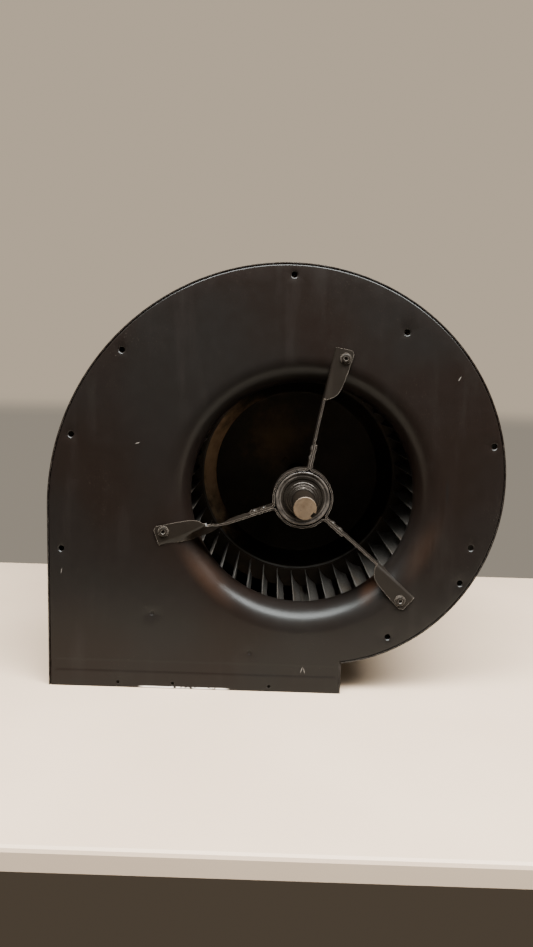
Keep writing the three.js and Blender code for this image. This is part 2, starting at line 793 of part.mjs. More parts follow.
for (const side of SIDES) {
  const half = new THREE.Group();
  if (side === "rear") {
    half.scale.y = -1;
    half.position.y = HOUSING_DEPTH;
  }
  fan.add(half);
  addSide(half, side);
}

piece(fan, "shaft", shaft(), BARE_STEEL);
piece(fan, "centre_disc", centreDisc(), GALVANISED);
piece(fan, "wheel_hub", wheelHub(), ZINC);
HUB_SCREW_ANGLES.forEach((angle, i) => piece(fan, `hub_screw_${i + 1}`, hubScrew(angle), ZINC));
hubRivetPoints().forEach((point, i) => piece(fan, `hub_rivet_${i + 1}`, hubRivet(point), ZINC));

export default fan;
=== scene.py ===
"""Looks of a belt-driven, double-inlet centrifugal blower that stands on its outlet.

Shapes are worked out in the fan's own millimetres: x and z are zero on the shaft axis, y runs from zero on
the front side plate's face to DEPTH on the rear one's, and angles run anticlockwise from +x, as seen from
the front. make() turns them into metres. The rear side's pieces are mirror images of the front side's.
"""

import math

import bmesh
import bpy
import numpy as np
from mathutils import Matrix, Vector, geometry


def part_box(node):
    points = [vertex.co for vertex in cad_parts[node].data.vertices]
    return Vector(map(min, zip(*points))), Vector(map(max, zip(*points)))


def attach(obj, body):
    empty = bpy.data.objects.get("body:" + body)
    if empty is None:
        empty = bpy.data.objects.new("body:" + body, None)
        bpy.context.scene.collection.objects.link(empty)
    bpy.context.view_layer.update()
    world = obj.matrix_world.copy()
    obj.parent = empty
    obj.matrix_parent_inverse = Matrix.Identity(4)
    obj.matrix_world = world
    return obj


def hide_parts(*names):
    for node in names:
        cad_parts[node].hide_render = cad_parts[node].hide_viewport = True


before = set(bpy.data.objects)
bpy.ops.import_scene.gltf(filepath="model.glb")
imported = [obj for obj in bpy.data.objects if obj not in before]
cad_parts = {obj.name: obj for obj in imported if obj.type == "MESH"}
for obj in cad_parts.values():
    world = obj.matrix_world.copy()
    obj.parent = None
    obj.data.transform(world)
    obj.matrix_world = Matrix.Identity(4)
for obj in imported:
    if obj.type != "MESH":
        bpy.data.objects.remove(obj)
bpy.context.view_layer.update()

MM = 0.001
SHAFT_LOW, SHAFT_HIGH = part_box("shaft")
PLATE_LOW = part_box("front_side_plate")[0]
WRAPPER_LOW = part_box("scroll_wrapper")[0]
AXIS_X = (SHAFT_LOW.x + SHAFT_HIGH.x) / 2
AXIS_Z = (SHAFT_LOW.z + SHAFT_HIGH.z) / 2
FACE_Y = PLATE_LOW.y
DEPTH = -2 * FACE_Y / MM
HEIGHT = AXIS_Z / MM

# Driving dimensions, in millimetres and degrees

GAP = 0.3
SHEET = 1.5
SEAM = 0.002  # points nearer than this are one point

OUTLET_RIGHT = 51
SCROLL_START_RADIUS = 199.8
SCROLL_GROWTH = 0.351
SCROLL_END = 184
RIM_DEPTH = 12
RIM_BEND = 2.2
CREASES = ((-196, 1), (-209, -1))  # height, and 1 where the sheet steps back
CREASE_WIDTH = 3
CREASE_DEPTH = 0.6
CREASE_REACH = 3  # the creases move points no deeper than this
TONGUE_NOSE_X = 13
TONGUE_NOSE_RADIUS = 7
TONGUE_CLEARANCE = 12
TONGUE_NOSE_ANGLES = (230, 62)
TONGUE_LAP = 4.1238

BELL_THROAT = 130
BELL_CURVE = 30
BELL_LIP = 4
BELL_SEGMENTS = 192
BELL_MOUTH = BELL_THROAT + BELL_CURVE

PLATE_HOLE = 3.3
RIM_HOLES = ((142, 16), (166, 14.5), (94, 13), (60, 31), (17, 11), (-15, 21.5), (-27, 11.5), (-57, 16))
COLLAR = ((1.3, 0), (1.05, 0.08), (-0.05, 1.0), (-0.2, 1.3), (-0.2, 2.4))  # beyond the hole's radius, depth
BACK_HOLE = (16, -66)
EDGE_HOLE = 2
EDGE_HOLES_X = (-209, -145, -32)
EDGE_HOLE_HEIGHT = 6
DIMPLES = ((-169.5, -139.2), (-55.7, -183.1))
DIMPLE = ((3.7, 0), (3.4, 0.09), (2.2, 1.1), (1.5, 1.35), (0.6, 1.4))  # radius, depth
ROUND_POINTS = 18
SMALL_ROUND_POINTS = 12
POINT_STEP = 14
MOUTH_MARGIN, EDGE_MARGIN, HOLE_MARGIN = 7, 6, 8

ARM_ANGLES = (79.3, 199.3, 319.3)
STRIP = 2
BAND_RADIUS = 33
BAND_FRONT = -2
BAND_WIDTH = 20
BEND = 4
TAB_END = 62
WEB_WIDTH = 24
FOOT_END = 172
FOOT_START = 113
BOLT_CIRCLE = 162.4
BOLT_LEAD = 4.23
FOLD = 2.4
STRIP_RIVETS = (46, 57)

SHAFT_RADIUS = 12.5
SHAFT_REACH = 64
SHAFT_CHAMFER = 0.9
KEYWAY_ANGLE = -38
KEYWAY_WIDTH = 6
KEYWAY_DEPTH = 3.2
KEYWAY_LENGTH = 45

BEARING_MIDDLE = 8
BEARING_HALF = 7.5
BEARING_FRONT = BEARING_MIDDLE - BEARING_HALF
BEARING_BACK = BEARING_MIDDLE + BEARING_HALF
BORE = SHAFT_RADIUS + GAP

WHEEL_RADIUS = 160
WHEEL_SPAN = 320
BLADES = 43
BLADE = 0.9
BLADE_INNER = 136
BLADE_OUTER = 158
BLADE_ADVANCE = 13
BLADE_BAND = 1.2
END_RING_WIDTH = 8
DISC_DISH = 40
DISC_FLAT = 117
DISC_CONE = 133
MIDDLE = DEPTH / 2
DISC_CENTRE = MIDDLE + DISC_DISH
WHEEL_FRONT = MIDDLE - WHEEL_SPAN / 2
ROW_FRONT = WHEEL_FRONT + SHEET + GAP
ROW_BACK = MIDDLE - SHEET / 2 - GAP
HUB_FRONT = DISC_CENTRE + SHEET / 2 + GAP
HUB_LENGTH = 38
HUB_RADIUS = 19
HUB_FLANGE = 30
FLANGE = 5
HUB_RIVETS = (45, 135, 225, 315)
HUB_RIVET_CIRCLE = 24.5
HUB_SCREW_ANGLES = (52, 142)
HUB_SCREW_Y = HUB_FRONT + HUB_LENGTH * 0.65
COLLAR_SCREW_Y = -13.6

# Distances from the wheel's middle that part the dull faces of a blade strip's bands from the rest.
OUTER_FACE = MIDDLE - ROW_FRONT - 0.2
INNER_FACE = MIDDLE - ROW_BACK + 0.1
INNER_BAND = MIDDLE - ROW_BACK + BLADE_BAND + 0.05
LIT_RIM_ANGLES = (115, 335)  # between these angles the disc's rim takes the blades' lighter metal: a painted highlight


# The camera

CAMERA_PAST_WRAPPER = 0.25558
CAMERA_BEFORE_FACE = 0.79123
CAMERA_HEIGHT = 0.36078
CAMERA_TURN = (-0.00906, 0.13011, -0.02781)


def add_camera():
    """In front of the inlet, higher than the shaft, and looking slightly down."""
    yaw, pitch, roll = CAMERA_TURN
    forward = Vector((math.sin(yaw) * math.cos(pitch), math.cos(yaw) * math.cos(pitch), -math.sin(pitch)))
    level = Vector((math.cos(yaw), -math.sin(yaw), 0))
    down = forward.cross(level)
    right = math.cos(roll) * level + math.sin(roll) * down
    up = math.sin(roll) * level - math.cos(roll) * down
    camera = bpy.data.objects.new("camera", bpy.data.cameras.new("camera"))
    bpy.context.scene.collection.objects.link(camera)
    camera.matrix_world = Matrix((
        (right.x, up.x, -forward.x, WRAPPER_LOW.x + CAMERA_PAST_WRAPPER),
        (right.y, up.y, -forward.y, FACE_Y - CAMERA_BEFORE_FACE),
        (right.z, up.z, -forward.z, CAMERA_HEIGHT),
        (0, 0, 0, 1),
    ))
    camera.data.lens = 27
    camera.data.clip_start = 0.01
    camera.data.clip_end = 50
    bpy.context.scene.camera = camera


add_camera()


# Geometry helpers. A shape is (vertices as an n by 3 array, list of faces).


def polar(radius, angle):
    return np.array((radius * math.cos(math.radians(angle)), radius * math.sin(math.radians(angle))))


def arc(centre, radius, start, end, steps):
    return [np.asarray(centre) + polar(radius, a) for a in np.linspace(start, end, steps + 1)]


def joined(*shapes):
    vertices, faces, count = [], [], 0
    for v, f in shapes:
        vertices.append(v)
        faces += [[i + count for i in face] for face in f]
        count += len(v)
    return np.concatenate(vertices), faces


def turned_by(shape, angle):
    """The shape turned anticlockwise about the shaft axis."""
    v, faces = shape
    c, s = polar(1, angle)
    return np.column_stack((v[:, 0] * c - v[:, 2] * s, v[:, 1], v[:, 0] * s + v[:, 2] * c)), faces


def moved(shape, x=0, y=0, z=0):
    v, faces = shape
    return v + np.array((x, y, z)), faces


def to_radial(shape):
    """A shape made along y about the axis, laid along +x instead."""
    v, faces = shape
    return np.column_stack((v[:, 1], -v[:, 0], v[:, 2])), faces


def grid(rows, close_rows=False, close_columns=False):
    """Faces between rows of points, each row equally long."""
    rows = np.asarray(rows, float)
    n, m = rows.shape[:2]
    faces = []
    for i in range(n if close_rows else n - 1):
        for j in range(m if close_columns else m - 1):
            a, b = i, (i + 1) % n
            c, d = j, (j + 1) % m
            faces.append([a * m + c, a * m + d, b * m + d, b * m + c])
    return rows.reshape(-1, 3), faces


def lathe(profile, segments=96):
    """A piece turned about the shaft axis, from (radius, y) points. An open profile ends on the axis."""
    closed = all(r > 0 for r, _ in profile)
    rows = []
    for k in range(segments):
        a = 2 * math.pi * k / segments
        rows.append([(r * math.cos(a), y, r * math.sin(a)) for r, y in profile])
    return grid(rows, close_rows=True, close_columns=closed)


def circle(centre, radius, count):
    return [np.asarray(centre) + polar(radius, 360 * k / count) for k in range(count)]


def rings(centre, steps, count):
    """Rows of points round a centre on the plate, from (radius, y) steps."""
    return [[(x, y, z) for x, z in circle(centre, radius, count)] for radius, y in steps]


def fillet(points, radius, steps, closed=True):
    """The outline with its corners rounded."""
    points = [np.asarray(p, float) for p in points]
    out = []
    for i, p in enumerate(points):
        if not closed and i in (0, len(points) - 1):
            out.append(p)
            continue
        before, after = points[i - 1] - p, points[(i + 1) % len(points)] - p
        reach = min(np.linalg.norm(before), np.linalg.norm(after))
        before, after = before / np.linalg.norm(before), after / np.linalg.norm(after)
        half = math.acos(max(-1.0, min(1.0, float(before @ after)))) / 2
        if half > math.radians(84):
            out.append(p)
            continue
        cut = min(radius / math.tan(half), 0.45 * reach)
        r = cut * math.tan(half)
        middle = before + after
        centre = p + middle / np.linalg.norm(middle) * (r / math.sin(half))
        start, end = p + before * cut - centre, p + after * cut - centre
        turn = math.atan2(start[0] * end[1] - start[1] * end[0], float(start @ end))
        for k in range(steps + 1):
            c, s = math.cos(turn * k / steps), math.sin(turn * k / steps)
            out.append(centre + np.array((start[0] * c - start[1] * s, start[0] * s + start[1] * c)))
    return out


def offset_path(path, distance):
    """The path moved to its left, with mitred corners."""
    p = np.asarray(path, float)
    d = np.diff(p, axis=0)
    n = np.column_stack((-d[:, 1], d[:, 0])) / np.linalg.norm(d, axis=1)[:, None]
    mitre = np.concatenate((n[:1], n)) + np.concatenate((n, n[-1:]))
    return p + mitre * (2 * distance / (mitre**2).sum(1))[:, None]


def prism(outline, start, end, rows):
    """An xz outline between two y planes."""
    outline = np.asarray(outline, float)
    n = len(outline)
    levels = np.linspace(start, end, rows + 1)
    v = [np.column_stack((outline[:, 0], np.full(n, y), outline[:, 1])) for y in levels]
    faces = [list(range(n)), [rows * n + i for i in range(n)]]
    for k in range(rows):
        low, high = k * n, (k + 1) * n
        faces += [[low + i, low + (i + 1) % n, high + (i + 1) % n, high + i] for i in range(n)]
    return np.concatenate(v), faces


def inside(points, loop):
    """Which points lie inside a closed loop."""
    points, loop = np.asarray(points, float), np.asarray(loop, float)
    hit = np.zeros(len(points), bool)
    x, y = points[:, 0], points[:, 1]
    for (x0, y0), (x1, y1) in zip(loop, np.roll(loop, -1, axis=0)):
        if y0 == y1:
            continue
        crosses = (y0 > y) != (y1 > y)
        hit ^= crosses & (x < (x1 - x0) * (y - y0) / (y1 - y0) + x0)
    return hit


def flat_region(outer, holes, extra):
    """Triangles of a flat region with holes, as 2D points and faces. extra are points inside it."""
    loops = [np.asarray(loop, float) for loop in [outer, *holes]]
    points, edges = [], []
    for loop in loops:
        first = len(points)
        points += [Vector(p) for p in loop]
        edges += [(first + i, first + (i + 1) % len(loop)) for i in range(len(loop))]
    points += [Vector(p) for p in extra]
    v, _, f, *_ = geometry.delaunay_2d_cdt(points, edges, [], 0, 1e-5)
    v = np.array([tuple(p) for p in v])
    middles = np.array([v[list(face)].mean(0) for face in f])
    keep = inside(middles, loops[0])
    for loop in loops[1:]:
        keep &= ~inside(middles, loop)
    return v, [list(face) for face, k in zip(f, keep) if k]


def make(name, shape, material, body, node, slot, mirror=False, thickness=0, bevel=0, sharp=32):
    """The shape in place of a CAD node: thickened if it is an open sheet, bevelled, and shaded by angle.

    A positive thickness grows backwards from the sheet's face, and a negative one to both sides.
    """
    v, faces = shape
    v = v.copy()
    if mirror:
        v[:, 1] = DEPTH - v[:, 1]
        faces = [list(reversed(face)) for face in faces]
    v = v * MM + np.array((AXIS_X, FACE_Y, AXIS_Z))
    mesh = bpy.data.meshes.new(name)
    mesh.from_pydata(v.tolist(), [], faces)
    obj = bpy.data.objects.new(name, mesh)
    bpy.context.scene.collection.objects.link(obj)
    tidy(mesh, recalculate=not thickness)
    if thickness:
        sheet = obj.modifiers.new("thickness", "SOLIDIFY")
        sheet.thickness = abs(thickness) * MM
        sheet.offset = -1 if thickness > 0 else 0
        sheet.use_even_offset = True
        sheet.use_quality_normals = True
    if bevel:
        edges = obj.modifiers.new("edges", "BEVEL")
        edges.width = bevel * MM
        edges.segments = 2
        edges.limit_method = "ANGLE"
        edges.angle_limit = math.radians(50)
    if obj.modifiers:
        bpy.context.view_layer.update()
        evaluated = obj.evaluated_get(bpy.context.evaluated_depsgraph_get())
        final = bpy.data.meshes.new_from_object(evaluated)
        obj.modifiers.clear()
        obj.data = final
        final.name = name
        bpy.data.meshes.remove(mesh)
        mesh = final
        tidy(mesh, recalculate=True)
    shade(mesh, sharp)
    mesh.materials.clear()
    mesh.materials.append(material)
    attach(obj, body)
    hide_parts(node)
    return obj


def tidy(mesh, recalculate):
    """Joins points that coincide, and turns the faces outwards if asked."""
    bm = bmesh.new()
    bm.from_mesh(mesh)
    bmesh.ops.remove_doubles(bm, verts=bm.verts, dist=SEAM * MM)
    bmesh.ops.dissolve_degenerate(bm, edges=bm.edges, dist=SEAM / 2 * MM)
    if recalculate:
        bmesh.ops.recalc_face_normals(bm, faces=bm.faces)
    bm.to_mesh(mesh)
    bm.free()


def shade(mesh, angle):
    """Smooth faces, with sharp edges where two meet at more than the angle."""
    bm = bmesh.new()
    bm.from_mesh(mesh)
    limit = math.radians(angle)
    for face in bm.faces:
        face.smooth = True
    for edge in bm.edges:
        edge.smooth = len(edge.link_faces) == 2 and edge.calc_face_angle(0) < limit
    bm.to_mesh(mesh)
    bm.free()


# Materials


class Nodes:
    """A material's node tree, built up call by call. Each call returns an output socket."""

    def __init__(self, name):
        self.material = bpy.data.materials.new(name)
        self.material.use_nodes = True
        self.tree = self.material.node_tree
        self.shader = self.tree.nodes["Principled BSDF"]
        self.place = self.node("ShaderNodeTexCoord").outputs["Object"]

    def node(self, kind, **settings):
        made = self.tree.nodes.new(kind)
        for key, value in settings.items():
            setattr(made, key, value)
        return made

    def put(self, socket, value):
        if isinstance(value, bpy.types.NodeSocket):
            self.tree.links.new(value, socket)
        elif socket.type == "RGBA":
            socket.default_value = (*value, 1)
        else:
            socket.default_value = value

    def surface(self, name, value):
        self.put(self.shader.inputs[name], value)

    def noise(self, scale, detail=3.0, roughness=0.5, distortion=0.0, where=None):
        made = self.node("ShaderNodeTexNoise")
        self.put(made.inputs["Vector"], self.place if where is None else where)
        made.inputs["Scale"].default_value = scale
        made.inputs["Detail"].default_value = detail
        made.inputs["Roughness"].default_value = roughness
        made.inputs["Distortion"].default_value = distortion
        return made.outputs["Fac"]

    def cells(self, scale):
        made = self.node("ShaderNodeTexVoronoi")
        self.put(made.inputs["Vector"], self.place)
        made.inputs["Scale"].default_value = scale
        return made.outputs["Distance"]

    def stretched(self, x, y, z):
        made = self.node("ShaderNodeMapping")
        self.put(made.inputs["Vector"], self.place)
        made.inputs["Scale"].default_value = (x, y, z)
        return made.outputs["Vector"]

    def ramp(self, value, low, high, to_low=0.0, to_high=1.0):
        made = self.node("ShaderNodeMapRange", interpolation_type="SMOOTHSTEP")
        self.put(made.inputs["Value"], value)
        for key, number in (("From Min", low), ("From Max", high), ("To Min", to_low), ("To Max", to_high)):
            made.inputs[key].default_value = number
        return made.outputs["Result"]

    def math(self, operation, a, b=0.0):
        made = self.node("ShaderNodeMath", operation=operation)
        self.put(made.inputs[0], a)
        self.put(made.inputs[1], b)
        return made.outputs[0]

    def product(self, a, b):
        return self.math("MULTIPLY", a, b)

    def mix(self, factor, a, b):
        made = self.node("ShaderNodeMixRGB")
        self.put(made.inputs[0], factor)
        self.put(made.inputs[1], a)
        self.put(made.inputs[2], b)
        return made.outputs[0]

    def axes(self):
        """x, y and z in the frame, at rest."""
        made = self.node("ShaderNodeSeparateXYZ")
        self.put(made.inputs[0], self.place)
        return made.outputs

    def inner_side(self, radius, depth):
        """1 on surfaces that face the shaft axis, past a radius and a depth in metres."""
        away = self.node("ShaderNodeVectorMath", operation="MULTIPLY_ADD")
        self.put(away.inputs[0], self.place)
        away.inputs[1].default_value = (1, 0, 1)
        away.inputs[2].default_value = (-AXIS_X, 0, -AXIS_Z)
        length = self.node("ShaderNodeVectorMath", operation="LENGTH")
        self.put(length.inputs[0], away.outputs[0])
        facing = self.node("ShaderNodeVectorMath", operation="DOT_PRODUCT")
        self.put(facing.inputs[0], away.outputs[0])
        self.put(facing.inputs[1], self.node("ShaderNodeNewGeometry").outputs["Normal"])
        past = self.ramp(length.outputs["Value"], radius, radius + 0.006)
        inner = self.product(past, self.ramp(facing.outputs["Value"], -0.02, -0.08))
        limit = MIDDLE * MM - depth
        middle = self.ramp(self.math("ABSOLUTE", self.axes()[1]), limit, limit - 0.002)
        return self.product(inner, middle)

    def edge_mask(self, radius):
        """Near 1 on edges, within a radius in metres."""
        rounded = self.node("ShaderNodeBevel", samples=4)
        rounded.inputs["Radius"].default_value = radius
        dot = self.node("ShaderNodeVectorMath", operation="DOT_PRODUCT")
        self.put(dot.inputs[0], rounded.outputs["Normal"])
        self.put(dot.inputs[1], self.node("ShaderNodeNewGeometry").outputs["Normal"])
        return self.ramp(dot.outputs["Value"], 0.99, 0.85)

    def bump(self, *heights):
        """heights are (height socket, strength, distance) from the coarsest to the finest."""
        normal = None
        for height, strength, distance in heights:
            made = self.node("ShaderNodeBump")
            made.inputs["Strength"].default_value = strength
            made.inputs["Distance"].default_value = distance
            self.put(made.inputs["Height"], height)
            if normal is not None:
                self.put(made.inputs["Normal"], normal)
            normal = made.outputs["Normal"]
        self.put(self.shader.inputs["Normal"], normal)

    def spot(self, x, z, half_long, half_wide, angle, edge, depth):
        """1 inside a ragged ellipse on the front face, in millimetres from the shaft axis."""
        shift = self.node("ShaderNodeMapping", vector_type="TEXTURE")
        self.put(shift.inputs["Vector"], self.place)
        shift.inputs["Location"].default_value = (AXIS_X + x * MM, FACE_Y, AXIS_Z + z * MM)
        shift.inputs["Rotation"].default_value = (0, -math.radians(angle), 0)
        shift.inputs["Scale"].default_value = (half_long * MM, depth * MM, half_wide * MM)
        length = self.node("ShaderNodeVectorMath", operation="LENGTH")
        self.put(length.inputs[0], shift.outputs["Vector"])
        ragged = self.math("ADD", length.outputs["Value"], self.product(self.noise(900, 2), 0.9))
        return self.ramp(ragged, 1.45 + edge, 1.45 - edge)


CHIPS_X, CHIPS_HALF = -0.1, 0.05
CHIPS_LOW, CHIPS_HIGH = 0.00075, 0.0023
# colour, softness of the edge, depth
SCRATCH = ((0.4, 0.38, 0.35), 0.35, 4)
SCUFF = ((0.004, 0.004, 0.004), 0.35, 4)
STAIN = ((0.05, 0.022, 0.01), 0.9, 26)
MARKS = (
    # x, z, half length, half width, angle, strength, kind
    (162.3, 12.2, 14, 1.0, 92, 0.7, SCUFF),
    (168.2, 138.4, 2.6, 0.5, 60, 0.2, SCRATCH),
    (-187.1, 57.5, 2.4, 0.5, 20, 0.2, SCRATCH),
    (5.4, -202.5, 3.6, 0.45, 72, 0.22, SCRATCH),
    (8.4, -203.5, 3.2, 0.4, 105, 0.2, SCRATCH),
    (-274, -92, 3, 0.5, 80, 0.15, SCRATCH),
    (-106, -96, 30, 9, -48, 0.16, STAIN),
    (84, -100, 17, 7, 62, 0.4, STAIN),
    (138, -58, 30, 9, 66, 0.08, STAIN),
)


def scaled(colour, share):
    return tuple(min(1, channel * share) for channel in colour)


def painted(name, brown, grey, roughness, specular, edge_wear_and_sheen):
    """Dark paint that drifts between two tones. The last argument is (edge radius, noise from, to, strength)
    of lighter edges, partly worn paint and partly a painted highlight.
    """
    n = Nodes(name)
    colour = n.mix(n.ramp(n.noise(5.5, 2, 0.5, 0.4), 0.35, 0.65), brown, grey)
    colour = n.mix(n.ramp(n.noise(42, 4, 0.6), 0.55, 0.8, 0, 0.22), colour, scaled(grey, 1.7))
    dust = n.product(n.ramp(n.noise(700, 3, 0.7), 0.62, 0.78), n.ramp(n.noise(14, 3), 0.45, 0.7))
    colour = n.mix(n.product(dust, 0.12), colour, (0.3, 0.26, 0.21))
    radius, low, high, strength = edge_wear_and_sheen
    # Lighter edges: worn paint, and a painted highlight where the edges would catch the light.
    worn_and_lit = n.product(n.edge_mask(radius), n.ramp(n.noise(160, 4, 0.65), low, high))
    colour = n.mix(n.product(worn_and_lit, strength), colour, (0.42, 0.38, 0.33))
    runs = n.ramp(n.noise(48, 4, 0.6, where=n.stretched(1, 1, 0.14)), 0.5, 0.75, 0, 0.3)
    colour = n.mix(runs, colour, scaled(grey, 2))
    rough = n.ramp(n.noise(60, 5, 0.6), 0.3, 0.7, roughness - 0.02, roughness + 0.03)
    rough = n.math("ADD", rough, n.product(dust, 0.08))
    n.surface("Base Color", colour)
    n.surface("Roughness", rough)
    n.surface("Specular IOR Level", specular)
    n.surface("Specular Tint", (0.84, 0.95, 1))
    n.bump((n.noise(9, 2), 0.15, 0.003), (n.noise(900, 2, 0.5), 0.12, 0.0003))
    return n, colour


def housing_material():
    """The paint with chips along the outlet's front edge, single marks, and painted light on the faces inside
    the scroll.
    """
    n, colour = painted("housing_paint", (0.0049, 0.0032, 0.0025), (0.0051, 0.0044, 0.004), 0.31, 0.165,
                        edge_wear_and_sheen=(0.0008, 0.36, 0.62, 0.15))
    x, _, z = n.axes()
    below = n.ramp(z, CHIPS_HIGH + 0.0004, CHIPS_HIGH - 0.0004)
    chips = n.product(below, n.ramp(z, CHIPS_LOW - 0.00025, CHIPS_LOW + 0.00025))
    chips = n.product(chips, n.ramp(n.noise(70, 5, 0.7), 0.38, 0.43))
    across = n.ramp(n.math("ABSOLUTE", n.math("ADD", x, -CHIPS_X)), CHIPS_HALF + 0.005, CHIPS_HALF - 0.005)
    colour = n.mix(n.product(chips, across), colour, (0.8, 0.79, 0.76))
    for *ellipse, strength, (tone, edge, depth) in MARKS:
        spot = n.spot(*ellipse, edge, depth)
        colour = n.mix(n.product(spot, strength), colour, tone)
    # The faces inside the scroll are lightened: painted light for the light that reaches in there.
    painted_inner_light = n.mix(n.noise(20, 4), (0.13, 0.13, 0.12), (0.07, 0.065, 0.058))
    colour = n.mix(n.inner_side(0.165, 0.006), colour, painted_inner_light)
    n.surface("Base Color", colour)
    return n.material


def bracket_material():
    # Its edges are lightened most: worn paint, and a painted highlight along the arms' edges.
    n, _ = painted("bracket_paint", (0.006, 0.0048, 0.0037), (0.008, 0.0068, 0.0057), 0.3, 0.15,
                   edge_wear_and_sheen=(0.0006, 0.25, 0.5, 0.36))
    return n.material


def metal(name, colour, stain, roughness, scale=1, pits=0, metallic=1, specular=0.5, edges=0, ends=0,
          patch=None):
    """Dull metal, dark all the way to the y of ends if that is given. patch is (place, radius, colour)."""
    n = Nodes(name)
    base = n.mix(n.ramp(n.noise(30 * scale, 4, 0.6), 0.35, 0.7), colour, scaled(colour, 0.72))
    base = n.mix(n.ramp(n.noise(17 * scale, 5, 0.65, 0.6), 0.5, 0.72, 0, 0.8), base, stain)
    grain = n.noise(500, 3, 0.6)
    rough = n.ramp(grain, 0.3, 0.7, roughness - 0.08, roughness + 0.1)
    n.surface("Metallic", metallic)
    n.surface("Specular IOR Level", specular)
    heights = [(grain, 0.15, 0.0002)]
    if pits:
        pit = n.ramp(n.cells(430), 0.26, 0.12)
        pit = n.product(pit, n.ramp(n.noise(210, 2), 0.46, 0.54))
        base = n.mix(n.product(pit, pits), base, scaled(stain, 0.25))
        heights.append((n.math("SUBTRACT", 1.0, pit), 0.5, 0.0004))
    if ends:
        face = n.ramp(n.math("ABSOLUTE", n.axes()[1]), ends - 0.0006, ends - 0.0003)
        base = n.mix(face, scaled(colour, 0.05), base)
        n.surface("Metallic", n.product(face, metallic))
        n.surface("Specular IOR Level", n.ramp(face, 0, 1, 0.1, specular))
    # edges lightens the edges threefold: a painted highlight on the blades, the end rings and the disc's lit
    # rim.
    if edges:
        base = n.mix(n.product(n.edge_mask(0.0006), edges), base, scaled(colour, 3))
    if patch:
        place, radius, tone = patch
        away = n.node("ShaderNodeVectorMath", operation="DISTANCE")
        n.put(away.inputs[0], n.place)
        away.inputs[1].default_value = place
        ragged = n.math("ADD", away.outputs["Value"], n.product(n.noise(38, 5, 0.7), 1.6 * radius))
        base = n.mix(n.ramp(ragged, radius * 2.0, radius * 0.8), base, tone)
    n.surface("Base Color", base)
    n.surface("Roughness", rough)
    n.bump(*heights)
    return n.material


def rubber_material():
    n = Nodes("rubber")
    colour = n.mix(n.ramp(n.noise(80, 4), 0.4, 0.7), (0.018, 0.016, 0.014), (0.05, 0.045, 0.04))
    n.surface("Base Color", colour)
    n.surface("Roughness", n.ramp(n.noise(140, 4), 0.3, 0.7, 0.22, 0.36))
    n.bump((n.noise(600, 3), 0.2, 0.0003))
    return n.material


DISC_PATCH = (AXIS_X - 0.028, (DISC_CENTRE - MIDDLE) * MM, AXIS_Z + 0.048)
# A warm bright spot on the left of the disc's cone: painted light, as if from the bright table through the
# inlet.
CONE_PAINTED_LIGHT = (AXIS_X - 0.15, 0.02, AXIS_Z + 0.02)
HOUSING = housing_material()
BRACKET = bracket_material()
SHAFT = metal("shaft_steel", (0.083, 0.059, 0.036), (0.048, 0.03, 0.016), 0.5, scale=3, pits=1.0,
              metallic=0.5, ends=(MIDDLE + SHAFT_REACH) * MM)
BEARING = metal("bearing_steel", (0.011, 0.0094, 0.0076), (0.008, 0.006, 0.0043), 0.3, scale=2, metallic=0.4,
                specular=0.2)
FASTENER = metal("fastener_steel", (0.16, 0.145, 0.13), (0.07, 0.052, 0.038), 0.4, scale=3, metallic=0.8)
# The blades' lighter edges are a painted highlight.
WHEEL = metal("wheel_steel", (0.05, 0.0495, 0.0465), (0.05, 0.04, 0.028), 0.45, metallic=0.1, specular=0.3,
              edges=0.8)
DISC = metal("disc_steel", (0.017, 0.0138, 0.0098), (0.03, 0.021, 0.012), 0.5, metallic=0, specular=0.14,
             patch=(DISC_PATCH, 0.05, (0.07, 0.046, 0.022)))
# The cone is dark but for its painted light on the left.
CONE = metal("cone_steel", (0.006, 0.005, 0.0036), (0.02, 0.014, 0.008), 0.38, metallic=0, specular=0.2,
             patch=(CONE_PAINTED_LIGHT, 0.11, (0.4, 0.285, 0.185)))
RUBBER = rubber_material()


# Housing


def scroll_start(inset):
    return -math.degrees(math.acos((OUTLET_RIGHT - inset) / (SCROLL_START_RADIUS - inset)))


SCROLL_START = scroll_start(0)


def scroll_point(angle, inset=0.0):
    return polar(SCROLL_START_RADIUS + SCROLL_GROWTH * (angle - SCROLL_START) - inset, angle)


BACK_WALL = -scroll_point(SCROLL_END)[0]


def scroll_path(inset, first):
    """The spiral from an angle on, and the straight back down to the outlet's left corner."""
    spiral = [scroll_point(a, inset) for a in np.linspace(first, SCROLL_END, 150)]
    back = [np.array((-BACK_WALL + inset, z)) for z in np.linspace(spiral[-1][1], -HEIGHT, 26)[1:]]
    return np.array(spiral + back)


def bell_depth(radius):
    across = min(max(BELL_MOUTH - radius, 0), BELL_CURVE)
    return BELL_CURVE - math.sqrt(BELL_CURVE**2 - across**2)


def foot_screw_point(angle):
    return polar(BOLT_CIRCLE, angle - BOLT_LEAD)


def plate_edge():
    """The rows of the folded rim along the scroll, and the closed outline of the flat part."""
    inset = SHEET + GAP
    rim = scroll_path(inset, scroll_start(inset))
    turn = np.linspace(0, math.pi / 2, 6)
    bend = [(RIM_BEND * (1 - math.sin(a)), RIM_BEND * (1 - math.cos(a))) for a in turn]
    rows = []
    for inward, depth in [*bend, (0, 7), (0, RIM_DEPTH)]:
        path = offset_path(rim, inward)
        rows.append(np.column_stack((path[:, 0], np.full(len(path), depth), path[:, 1])))
    edge = offset_path(rim, RIM_BEND)
    edge[-1][1] = -HEIGHT
    rows[0][:, 0], rows[0][:, 2] = edge[:, 0], edge[:, 1]
    right_x = OUTLET_RIGHT - inset
    right = [np.array((right_x, z)) for z in np.linspace(-HEIGHT, rim[0][1] + 0.6, 6)]
    bottom = [np.array((x, -HEIGHT)) for x in np.linspace(edge[-1][0], right_x, 40)[1:-1]]
    return rows, [*right, *edge, *bottom]


